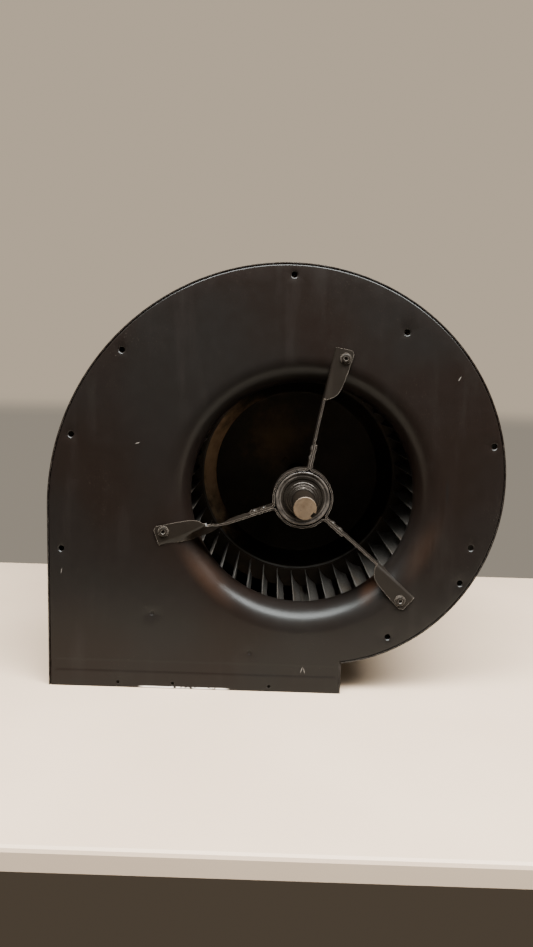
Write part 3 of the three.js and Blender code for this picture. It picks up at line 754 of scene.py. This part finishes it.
def flat_points(outline, openings):
    """Points over the flat part, closest at the creases, that keep clear of its outline and openings."""
    outline = np.asarray(outline)
    middles = np.array([np.mean(loop, axis=0) for loop in openings])
    points = []
    for z in [*np.arange(-213, -194.9, 1), *np.arange(-185, 260, POINT_STEP)]:
        for x in np.arange(-280, 235, POINT_STEP):
            p = np.array((x, z))
            past_mouth = np.linalg.norm(p) - BELL_MOUTH
            from_edge = min(np.linalg.norm(outline - p, axis=1))
            from_hole = min(np.linalg.norm(middles - p, axis=1))
            if past_mouth > MOUTH_MARGIN and from_edge > EDGE_MARGIN and from_hole > HOLE_MARGIN:
                points.append(p)
    return points


def plate_relief(v):
    """A shallow band is pressed back beside the outlet's edge, between two creases."""
    for height, sign in CREASES:
        t = np.clip((height - v[:, 2]) / CREASE_WIDTH, 0, 1)
        v[:, 1] += sign * CREASE_DEPTH * t * t * (3 - 2 * t) * (v[:, 1] < CREASE_REACH)
    return v


def side_plate(edge_holes):
    """The front surface of the scroll sheet with its folded rim, drawn inlet and holes, to be thickened."""
    rim_rows, outline = plate_edge()
    turn = np.linspace(0, math.pi / 2, 17)
    curve = [(BELL_MOUTH - BELL_CURVE * math.sin(a), BELL_CURVE * (1 - math.cos(a))) for a in turn]
    bell = rings((0, 0), [*curve, (BELL_THROAT, BELL_CURVE + BELL_LIP)], BELL_SEGMENTS)
    formed = [grid(rim_rows), grid(bell, close_columns=True)]

    openings = []
    for centre in [*(scroll_point(a, i) for a, i in RIM_HOLES), (BACK_HOLE[0] - BACK_WALL, BACK_HOLE[1])]:
        openings.append(circle(centre, PLATE_HOLE + COLLAR[0][0], ROUND_POINTS))
        collar = rings(centre, [(PLATE_HOLE + past, y) for past, y in COLLAR], ROUND_POINTS)
        formed.append(grid(collar, close_columns=True))
    for centre in DIMPLES:
        openings.append(circle(centre, DIMPLE[0][0], ROUND_POINTS))
        dent, faces = grid(rings(centre, DIMPLE, ROUND_POINTS), close_columns=True)
        floor = list(range(len(dent) - ROUND_POINTS, len(dent)))
        formed.append((dent, [*faces, floor]))
    for x in EDGE_HOLES_X if edge_holes else ():
        openings.append(circle((x, EDGE_HOLE_HEIGHT - HEIGHT), EDGE_HOLE, SMALL_ROUND_POINTS))
    for angle in ARM_ANGLES:
        openings.append(circle(foot_screw_point(angle), PLATE_HOLE, SMALL_ROUND_POINTS))

    mouth = circle((0, 0), BELL_MOUTH, BELL_SEGMENTS)
    v, faces = flat_region(outline, [mouth, *openings], flat_points(outline, openings))
    flat = (np.column_stack((v[:, 0], np.zeros(len(v)), v[:, 1])), faces)
    v, faces = joined(flat, *formed)
    return plate_relief(v), faces


def face_forward(shape):
    """The sheet's faces turned so that its shown side is the front."""
    v, faces = shape
    mesh = bpy.data.meshes.new("scratch")
    mesh.from_pydata(v.tolist(), [], faces)
    bm = bmesh.new()
    bm.from_mesh(mesh)
    bmesh.ops.remove_doubles(bm, verts=bm.verts, dist=SEAM)
    bmesh.ops.recalc_face_normals(bm, faces=bm.faces)
    largest = max(bm.faces, key=lambda face: face.calc_area())
    if largest.normal.y > 0:
        bmesh.ops.reverse_faces(bm, faces=bm.faces)
    bm.verts.ensure_lookup_table()
    out = np.array([tuple(p.co) for p in bm.verts]), [[p.index for p in face.verts] for face in bm.faces]
    bm.free()
    bpy.data.meshes.remove(mesh)
    return out


def scroll_wrapper():
    path = scroll_path(0, SCROLL_START)
    outline = [*path, *offset_path(path, SHEET)[::-1]]
    return prism(outline, 0, DEPTH, rows=8)


def cutoff_plate():
    """The outlet's right wall, and the folded tongue that runs up to the wheel between the side plates."""
    lower, upper = TONGUE_NOSE_ANGLES
    reach = WHEEL_RADIUS + TONGUE_CLEARANCE + TONGUE_NOSE_RADIUS
    centre = np.array((TONGUE_NOSE_X, -math.sqrt(reach**2 - TONGUE_NOSE_X**2)))
    nose = arc(centre, TONGUE_NOSE_RADIUS, lower, upper, 28)
    leg = polar(1, lower + 90)
    foot = nose[0] + leg * ((OUTLET_RIGHT - SHEET / 2 - nose[0][0]) / leg[0])
    lap = [scroll_point(SCROLL_START + a, 2 * SHEET + GAP) for a in np.linspace(0, TONGUE_LAP, 4)]
    path = np.array([foot, *nose, *lap])
    tongue = [*path, *offset_path(path, -SHEET)[::-1]]
    left, top = OUTLET_RIGHT - SHEET, scroll_point(SCROLL_START)[1] - SHEET / 2
    wall = [(left, -HEIGHT), (OUTLET_RIGHT, -HEIGHT), (OUTLET_RIGHT, top), (left, top)]
    inside_plates = SHEET + GAP
    return joined(
        prism(wall, 0, DEPTH, rows=4),
        prism(tongue, inside_plates, DEPTH - inside_plates, rows=4),
    )


# Bearing brackets


def keyed(table, at):
    return float(np.interp(at, [k for k, _ in table], [v for _, v in table]))


# By distance along an arm: the leaf's edge, and how far a bent arm's two edges lean.
LEAF_EDGE = (
    (113, 0), (114, -2.4), (115.7, -5.2), (118, -8.6), (121.6, -12.1), (128, -14.6), (136.5, -16.2),
    (150, -18), (165, -19.6), (168.3, -20), (172, -16.6),
)
LEAN_FRONT = (
    (75, 0), (90, 0.2), (100, -1.2), (108, -3.8), (117, -5.4), (125, -3.8), (133, -2.6), (144, -1.6),
    (172, 0),
)
LEAN_BACK = (
    (75, 0), (88, 0.8), (100, 3.6), (110, 6.6), (120, 8.2), (130, 8), (140, 6), (150, 3.6), (160, 2),
    (172, 1),
)
STRAIGHT = ((0, 0), (200, 0))
STRIP_STATIONS = (
    *np.linspace(FOOT_END, 164, 5), *np.linspace(162, 118, 23), *np.linspace(117, 112, 11),
    *np.linspace(110, 64, 24), TAB_END,
)


def strip_section(along, front_lean, back_lean):
    """The strip's middle line at a distance along the arm, from its back edge to the leaf's edge."""
    side = STRIP / 2
    face = -GAP - STRIP / 2
    front = BAND_FRONT - GAP
    widening = ((TAB_END, BAND_FRONT + BAND_WIDTH), (TAB_END + 20, front + WEB_WIDTH))
    back = max(min(bell_depth(along) - 1.2, keyed(widening, along)), face + FOLD + 0.2)
    has_leaf = along > FOOT_START
    points = [(side, y) for y in np.linspace(back, face + FOLD if has_leaf else front, 8)]
    if has_leaf:
        turn = np.linspace(0, math.pi / 2, 6)[1:]
        points += [(side - FOLD * (1 - math.cos(a)), face + FOLD * (1 - math.sin(a))) for a in turn]
    else:
        points += [(side, front)] * 5
    lean_back, lean_front = keyed(back_lean, along), keyed(front_lean, along)
    leaned = []
    for t, y in points:
        share = min((back - y) / max(back - face, 1), 1)
        leaned.append((t + lean_back * (1 - share) + lean_front * share, y))
    start, y = leaned[-1]
    edge = min(keyed(LEAF_EDGE, along), start - 0.05) if has_leaf else start
    return leaned + [(t, y) for t in np.linspace(start, edge, 8)[1:]]


def bend_centre(offset):
    """Centre and angle of a bend beside the ring, whose middle line is this far from the arm's."""
    reach = BAND_RADIUS + BEND
    centre = np.array((math.sqrt(reach**2 - offset**2), offset))
    return centre, math.degrees(math.atan2(centre[1], centre[0]))


def ring_path():
    """The strip's middle line from the arm along +x, a third of the way round, to the next arm."""
    side = STRIP / 2
    centre, first = bend_centre(side + BEND)
    path = [np.array((x, side)) for x in np.linspace(TAB_END, centre[0], 8)[1:]]
    path += arc(centre, BEND, -90, first - 180, 8)[1:]
    lap = -GAP - side
    other, last = bend_centre(lap - BEND)
    path += arc((0, 0), BAND_RADIUS, first, 120 + last, 30)[1:]
    tail = arc(other, BEND, 180 + last, 90, 8)[1:]
    tail += [np.array((x, lap)) for x in np.linspace(other[0], TAB_END, 7)[1:]]
    c, s = polar(1, 120)
    return path + [np.array((p[0] * c - p[1] * s, p[0] * s + p[1] * c)) for p in tail]


def bracket_strip(front_lean, back_lean):
    """Middle surface of the strip for an arm along +x: foot, arm, third of the ring, and tab."""
    rows = []
    for along in STRIP_STATIONS:
        rows.append([(along, y, t) for t, y in strip_section(along, front_lean, back_lean)])
    spread = np.concatenate((np.linspace(0, 0.94, 8), np.linspace(0.94, 1, len(rows[0]) - 8)))
    for x, z in ring_path():
        rows.append([(x, BAND_FRONT + BAND_WIDTH * (1 - k), z) for k in spread])
    return grid(rows)


def bracket_rivets():
    """Two rivets across an arm along +x, with low domed heads."""
    side = [(0, -4.1), (1.6, -3.9), (2.7, -3.3), (3.3, -2.5), (3.3, -2.3), (2, -2.3)]
    v, faces = lathe(side + [(r, -y) for r, y in reversed(side)], 24)
    v = np.column_stack((v[:, 0], v[:, 2] + BEARING_MIDDLE, v[:, 1] - GAP / 2))
    return joined(*(moved((v, faces), along) for along in STRIP_RIVETS))


def foot_screw():
    """A screw with a domed head on its own washer."""
    seat = BAND_FRONT - GAP
    socket = [(0, seat - 1.3), (2.1, seat - 1.3), (2.1, seat - 2.9), (2.5, seat - 3.3)]
    head = [(3.4, seat - 3.3), (4.7, seat - 2.7), (5.2, seat - 1.8), (5.2, seat - 0.9)]
    washer = [(6.1, seat - 0.8), (6.3, seat - 0.4), (6.3, seat)]
    thread = [(2.5, seat), (2.5, 10.4), (2.1, 11), (0, 11)]
    return lathe([*socket, *head, *washer, *thread], 48)


def foot_nut():
    """A hexagon nut, eight across its flats, behind the plate."""
    seat, bore = SHEET + 2 * GAP, 2.6
    rows = []
    for angle in range(0, 360, 15):
        reach = 4 / math.cos(math.radians(angle % 60 - 30))
        back = [(reach, seat + 3.6), (min(reach, 4.05), seat + 4), (bore, seat + 4)]
        c, s = polar(1, angle + 30)
        rows.append([(r * c, y, r * s) for r, y in [(bore, seat), (reach, seat), *back]])
    return grid(rows, close_rows=True, close_columns=True)


def rubber_ring():
    """The ring between bearing and bracket, with a bead round its front."""
    bead = arc((29.2, 0.4), 1.7, 20, -200, 14)
    back = BAND_FRONT + BAND_WIDTH - 1
    near, far = BEARING_FRONT - GAP, BEARING_BACK + GAP
    front = [(31.7, 2.2), (31, 1.6), *bead, (26.6, 1), (25.4, 0.3), (24.8, 0.3)]
    seat = [(24.8, near), (26.3, near), (26.3, far), (25, far)]
    return lathe([*front, *seat, (25, back - 1), (29.7, back), (31.7, back - 1.5)], 128)


# Bearings


def bearing_outer_ring():
    f, b = BEARING_FRONT, BEARING_BACK
    groove = [(22, 4.6), (23.4, 5.4), (23.9, 8), (23.4, 10.6), (22, 11.4)]
    outside = [(25.6, b), (26, b - 0.4), (26, f + 0.4), (25.6, f)]
    return lathe([(22.6, f), (22, f + 0.6), *groove, (22, b - 0.6), (22.6, b), *outside])


def bearing_inner_ring():
    """The inner ring with its nose, which reaches out into the locking collar."""
    f, b = BEARING_FRONT, BEARING_BACK
    groove = [(16.6, 11.4), (15.3, 10.6), (15, 8), (15.3, 5.4), (16.6, 4.6)]
    nose = [(15.2, f), (15.2, -6.6), (14.8, -7), (BORE, -7)]
    return lathe([(BORE, b), (16.1, b), (16.6, b - 0.5), *groove, (16.6, f + 0.5), (16.1, f), *nose])


def bearing_shield(front):
    face = [(17.2, front), (19, front - 0.15), (20.6, front), (21.7, front)]
    return lathe([*face, (21.7, front + 0.5), (17.2, front + 0.5)])


def locking_collar():
    """A stepped sleeve: neck, body and flange, hollow at the back for the inner ring's nose."""
    neck = [(BORE, -18), (13.7, -18), (14.3, -17.4), (14.3, -10.2), (14.6, -9.9)]
    body = [(15.7, -9.9), (16.3, -9.3), (16.3, -5), (16.6, -4.7)]
    flange = [(18.3, -4.7), (19, -4.1), (19, -3.4), (18.6, -3)]
    return lathe([*neck, *body, *flange, (15.5, -3), (15.5, -7.3), (BORE, -7.3)])


def set_screw(radius, tip, top):
    """A screw along +x between two distances from the axis, with a socket in its outer end."""
    point = [(0, tip), (radius * 0.6, tip), (radius, tip + 0.8)]
    end = [(radius, top - 0.3), (radius - 0.3, top), (radius * 0.5, top)]
    return to_radial(lathe([*point, *end, (radius * 0.5, top - 1.2), (0, top - 1.2)], 24))


# Rotor


def shaft():
    """The bar with a keyway cut in from each end.

    Every ring has the same count of points. Away from the keyways, the slot's corners lie on the circle.
    """
    half_angle = math.degrees(math.asin(KEYWAY_WIDTH / 2 / SHAFT_RADIUS))
    bar = [polar(1, a) for a in np.linspace(half_angle, 360 - half_angle, 91)]
    gap = [polar(1, a) for a in (-half_angle, -half_angle / 3, half_angle / 3, half_angle)]
    c, s = polar(1, KEYWAY_ANGLE)

    def ring(y, radius, cut):
        reach, half = radius * polar(1, half_angle)
        floor = SHAFT_RADIUS - KEYWAY_DEPTH
        slot = [(reach, -half), (floor, -half), (floor, half), (reach, half)]
        points = [p * radius for p in bar] + (slot if cut else [p * radius for p in gap])
        return [(p[0] * c - p[1] * s, y, p[0] * s + p[1] * c) for p in points]

    end = [
        (0, SHAFT_RADIUS - SHAFT_CHAMFER, True),
        (SHAFT_CHAMFER, SHAFT_RADIUS, True),
        (KEYWAY_LENGTH, SHAFT_RADIUS, True),
        (KEYWAY_LENGTH, SHAFT_RADIUS, False),
    ]
    rows = [ring(y - SHAFT_REACH, radius, cut) for y, radius, cut in end]
    rows += [ring(y, SHAFT_RADIUS, False) for y in np.linspace(0, DEPTH, 9)]
    rows += [ring(DEPTH + SHAFT_REACH - y, radius, cut) for y, radius, cut in reversed(end)]
    v, faces = grid(rows, close_columns=True)
    count = len(rows[0])
    return v, [*faces, list(range(count)), [len(v) - count + i for i in range(count)]]


def centre_disc():
    """The dished sheet between the blade rows, with its flat middle set back round the hub."""
    line = [(BORE + GAP, DISC_CENTRE), (DISC_FLAT, DISC_CENTRE), (DISC_CONE, MIDDLE), (WHEEL_RADIUS, MIDDLE)]
    line = fillet(line, 4, 5, closed=False)
    outer, inner = offset_path(line, SHEET / 2), offset_path(line, -SHEET / 2)
    return lathe([*outer, *inner[::-1]], 160)


def wheel_hub():
    flange_back, back = HUB_FRONT + FLANGE, HUB_FRONT + HUB_LENGTH
    profile = [(BORE, HUB_FRONT), (HUB_FLANGE, HUB_FRONT), (HUB_FLANGE, flange_back)]
    profile += [(HUB_RADIUS, flange_back), (HUB_RADIUS, back), (BORE, back)]
    return lathe(fillet(profile, 1.2, 3))


def domed_rivet(front, back):
    """A rivet whose two heads sit on the planes front and back."""
    head = [(0, 1.6), (1.8, 1.4), (3.2, 0.8), (4, 0), (2, 0)]
    profile = [(r, front - y) for r, y in head] + [(r, back + y) for r, y in reversed(head)]
    return lathe(profile, 24)


def blade_strip():
    """A row of forward-curved blades between two edge bands."""
    t = np.linspace(0, 1, 9)
    curve = np.column_stack((BLADE_INNER + (BLADE_OUTER - BLADE_INNER) * t, BLADE_ADVANCE * t * t))
    section = [*curve, *offset_path(curve, BLADE)[::-1]]
    blade = prism(section, ROW_FRONT + BLADE_BAND / 2, ROW_BACK - BLADE_BAND / 2, rows=3)
    shapes = [turned_by(blade, 360 * k / BLADES) for k in range(BLADES)]
    low, high = BLADE_INNER - 1, BLADE_OUTER + 1
    for front in (ROW_FRONT, ROW_BACK - BLADE_BAND):
        back = front + BLADE_BAND
        band = [(low, front), (high, front), (high, back), (low, back)]
        shapes.append(lathe(fillet(band, 0.4, 2), 4 * BLADES))
    return joined(*shapes)


def end_ring():
    """The turned-in edge ring that holds a blade row at the inlet."""
    inner, outer = BLADE_INNER - 2, WHEEL_RADIUS + 1
    face, back = WHEEL_FRONT + SHEET, WHEEL_FRONT + END_RING_WIDTH
    profile = [(inner, WHEEL_FRONT), (outer, WHEEL_FRONT), (outer, back)]
    profile += [(outer - 1.2, back), (outer - 1.2, face), (inner, face)]
    return lathe(fillet(profile, 0.5, 2), 160)


# The pieces

for node, shape in (("scroll_wrapper", scroll_wrapper()), ("cutoff_plate", cutoff_plate())):
    make(f"{node}_sheet", shape, HOUSING, "housing", node, "housing_paint", bevel=0.25)

for side in ("front", "rear"):
    mirror = side == "rear"

    def add(piece, shape, material, slot, body="housing", **more):
        node = f"{side}_{piece}"
        return make(f"{node}_shape", shape, material, body, node, slot, mirror=mirror, **more)

    plate = face_forward(side_plate(edge_holes=not mirror))
    add("side_plate", plate, HOUSING, "housing_paint", thickness=SHEET, bevel=0.2)
    for number, angle in enumerate(ARM_ANGLES, 1):
        leaning = number == 2 and side == "front"
        lean = (LEAN_FRONT, LEAN_BACK) if leaning else (STRAIGHT, STRAIGHT)
        strip = turned_by(bracket_strip(*lean), angle)
        add(f"bracket_strip_{number}", strip, BRACKET, "bracket_paint", thickness=-STRIP, bevel=0.35)
        add(f"bracket_rivet_{number}", turned_by(bracket_rivets(), angle), BRACKET, "bracket_paint")
        x, z = foot_screw_point(angle)
        add(f"foot_screw_{number}", moved(foot_screw(), x, 0, z), BRACKET, "bracket_paint")
        add(f"foot_nut_{number}", moved(foot_nut(), x, 0, z), FASTENER, "fastener_steel")
    add("rubber_ring", rubber_ring(), RUBBER, "rubber")
    add("bearing_outer_ring", bearing_outer_ring(), BEARING, "bearing_steel")
    add("bearing_inner_ring", bearing_inner_ring(), BEARING, "bearing_steel", "rotor")
    add("outboard_shield", bearing_shield(BEARING_FRONT + 0.8), BEARING, "bearing_steel")
    add("inboard_shield", bearing_shield(BEARING_BACK - 1.3), BEARING, "bearing_steel")
    add("locking_collar", locking_collar(), BEARING, "bearing_steel", "rotor")
    screw = moved(turned_by(set_screw(2, BORE, 14.6), 90), 0, COLLAR_SCREW_Y, 0)
    add("collar_screw", screw, FASTENER, "fastener_steel", "rotor")
    blades = add("blade_strip", blade_strip(), WHEEL, "wheel_steel", "rotor", sharp=40)
    blades.data.materials.append(DISC)
    for face in blades.data.polygons:
        ys = [blades.data.vertices[i].co.y / MM for i in face.vertices]
        outward = max(ys) if mirror else -max(ys)
        away = [abs(y) for y in ys]
        dull = outward > OUTER_FACE or min(away) < INNER_FACE or max(away) < INNER_BAND
        face.material_index = int(dull)
    add("end_ring", end_ring(), WHEEL, "wheel_steel", "rotor")
    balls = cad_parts[f"{side}_bearing_ball_set"].data.materials
    balls.clear()
    balls.append(BEARING)

make("shaft_bar", shaft(), SHAFT, "rotor", "shaft", "shaft_steel")
disc = make("centre_disc_pressing", centre_disc(), DISC, "rotor", "centre_disc", "wheel_steel")
disc.data.materials.append(CONE)
disc.data.materials.append(WHEEL)
for face in disc.data.polygons:
    x, z = face.center.x - AXIS_X, face.center.z - AXIS_Z
    radius, around = math.hypot(x, z) / MM, math.degrees(math.atan2(z, x)) % 360
    # Between those angles the rim gets the lighter blade metal, a painted highlight.
    on_rim = DISC_CONE - 1.5 < radius < DISC_CONE + 1 and LIT_RIM_ANGLES[0] < around < LIT_RIM_ANGLES[1]
    on_cone = DISC_FLAT < radius < DISC_CONE
    face.material_index = 2 if on_rim else int(on_cone)
make("wheel_hub_turned", wheel_hub(), FASTENER, "rotor", "wheel_hub", "fastener_steel")
for number, angle in enumerate(HUB_SCREW_ANGLES, 1):
    screw = moved(turned_by(set_screw(3.7, BORE, HUB_RADIUS + 0.2), angle), 0, HUB_SCREW_Y, 0)
    make(f"hub_set_screw_{number}", screw, FASTENER, "rotor", f"hub_screw_{number}", "fastener_steel")
for number, angle in enumerate(HUB_RIVETS, 1):
    x, z = polar(HUB_RIVET_CIRCLE, angle)
    rivet = moved(domed_rivet(DISC_CENTRE - SHEET / 2, HUB_FRONT + FLANGE), x, 0, z)
    make(f"hub_disc_rivet_{number}", rivet, DISC, "rotor", f"hub_rivet_{number}", "fastener_steel")


# The studio


TABLE_LOW, TABLE_HIGH = (-1.5, -0.488), (1.5, 0.34)
TABLE_THICKNESS = 0.02
TABLE_ROUND = 0.004
WALL = (0.55, 0.45, 0.335)
SKIRTING = (0.3, 0.262, 0.21)
CEILING = (0.75, 0.68, 0.6)
BELOW = (0.075, 0.057, 0.04)


def add_floor():
    """A pale table top with its far edge a little behind the fan."""
    n = Nodes("floor")
    colour = n.mix(n.ramp(n.noise(3, 3), 0.3, 0.7), (0.345, 0.276, 0.208), (0.38, 0.306, 0.233))
    brushed = n.ramp(n.noise(150, 4, 0.7, where=n.stretched(0.15, 1, 1)), 0.55, 0.75, 0, 0.12)
    colour = n.mix(brushed, colour, (0.3, 0.26, 0.21))
    n.surface("Base Color", colour)
    n.surface("Roughness", 0.5)
    n.bump((n.noise(220, 3), 0.08, 0.0005))
    steps = ((0, TABLE_THICKNESS), (0, TABLE_ROUND), (0.3 * TABLE_ROUND, 0.3 * TABLE_ROUND), (TABLE_ROUND, 0))
    rows = []
    for inset, drop in steps:
        x0, y0 = TABLE_LOW[0] + inset, TABLE_LOW[1] + inset
        x1, y1 = TABLE_HIGH[0] - inset, TABLE_HIGH[1] - inset
        rows.append([(x0, y0, -drop), (x1, y0, -drop), (x1, y1, -drop), (x0, y1, -drop)])
    v, faces = grid(rows, close_columns=True)
    faces += [[12, 13, 14, 15], [3, 2, 1, 0]]
    mesh = bpy.data.meshes.new("floor")
    mesh.from_pydata(v.tolist(), [], faces)
    tidy(mesh, recalculate=True)
    mesh.materials.append(n.material)
    floor = bpy.data.objects.new("floor", mesh)
    bpy.context.scene.collection.objects.link(floor)


def add_light(name, place, target, size, power, colour, glossy=True):
    light = bpy.data.lights.new(name, "AREA")
    light.shape = "RECTANGLE"
    light.size, light.size_y = size
    light.energy = power
    light.color = colour
    obj = bpy.data.objects.new(name, light)
    bpy.context.scene.collection.objects.link(obj)
    obj.location = place
    obj.visible_glossy = glossy
    obj.rotation_euler = (Vector(target) - Vector(place)).to_track_quat("-Z", "Y").to_euler()


def add_world():
    """A greige wall down to a darker skirting, dark below the table and dimmer in front of the fan."""
    world = bpy.data.worlds.new("studio")
    bpy.context.scene.world = world
    world.use_nodes = True
    tree = world.node_tree
    place = tree.nodes.new("ShaderNodeTexCoord")
    axes = tree.nodes.new("ShaderNodeSeparateXYZ")
    tree.links.new(place.outputs["Generated"], axes.inputs[0])

    def ramp(axis, *stops):
        half = tree.nodes.new("ShaderNodeMapRange")
        half.inputs["From Min"].default_value = -1
        tree.links.new(axes.outputs[axis], half.inputs["Value"])
        made = tree.nodes.new("ShaderNodeValToRGB")
        tree.links.new(half.outputs["Result"], made.inputs[0])
        elements = made.color_ramp.elements
        for _ in stops[2:]:
            elements.new(0.5)
        for element, (position, colour) in zip(elements, stops):
            element.position = (position + 1) / 2
            element.color = (*colour, 1)
        return made.outputs["Color"]

    height = ramp("Z", (-0.42, BELOW), (-0.36, SKIRTING), (-0.05, SKIRTING),
                  (-0.03, WALL), (0.45, WALL), (1, CEILING))
    front = ramp("Y", (-0.5, (0.5, 0.51, 0.52)), (0.2, (1, 1, 1)))
    product = tree.nodes.new("ShaderNodeMixRGB")
    product.blend_type = "MULTIPLY"
    product.inputs[0].default_value = 1
    tree.links.new(height, product.inputs[1])
    tree.links.new(front, product.inputs[2])
    tree.links.new(product.outputs[0], tree.nodes["Background"].inputs["Color"])


add_floor()
add_light("overhead", (0.5, -1.1, 2.2), (0.5, -0.4, 0.1), (3.4, 0.85), 635, (1, 0.955, 0.9))
add_light("fill_right", (1.2, -1.9, 2.2), (0, 0, 0.25), (1.2, 1), 26, (1, 0.95, 0.88), glossy=False)
add_light("fill_left", (-1.3, -1.9, 2.1), (0, 0, 0.25), (1.2, 1), 20, (1, 0.97, 0.94), glossy=False)
add_world()
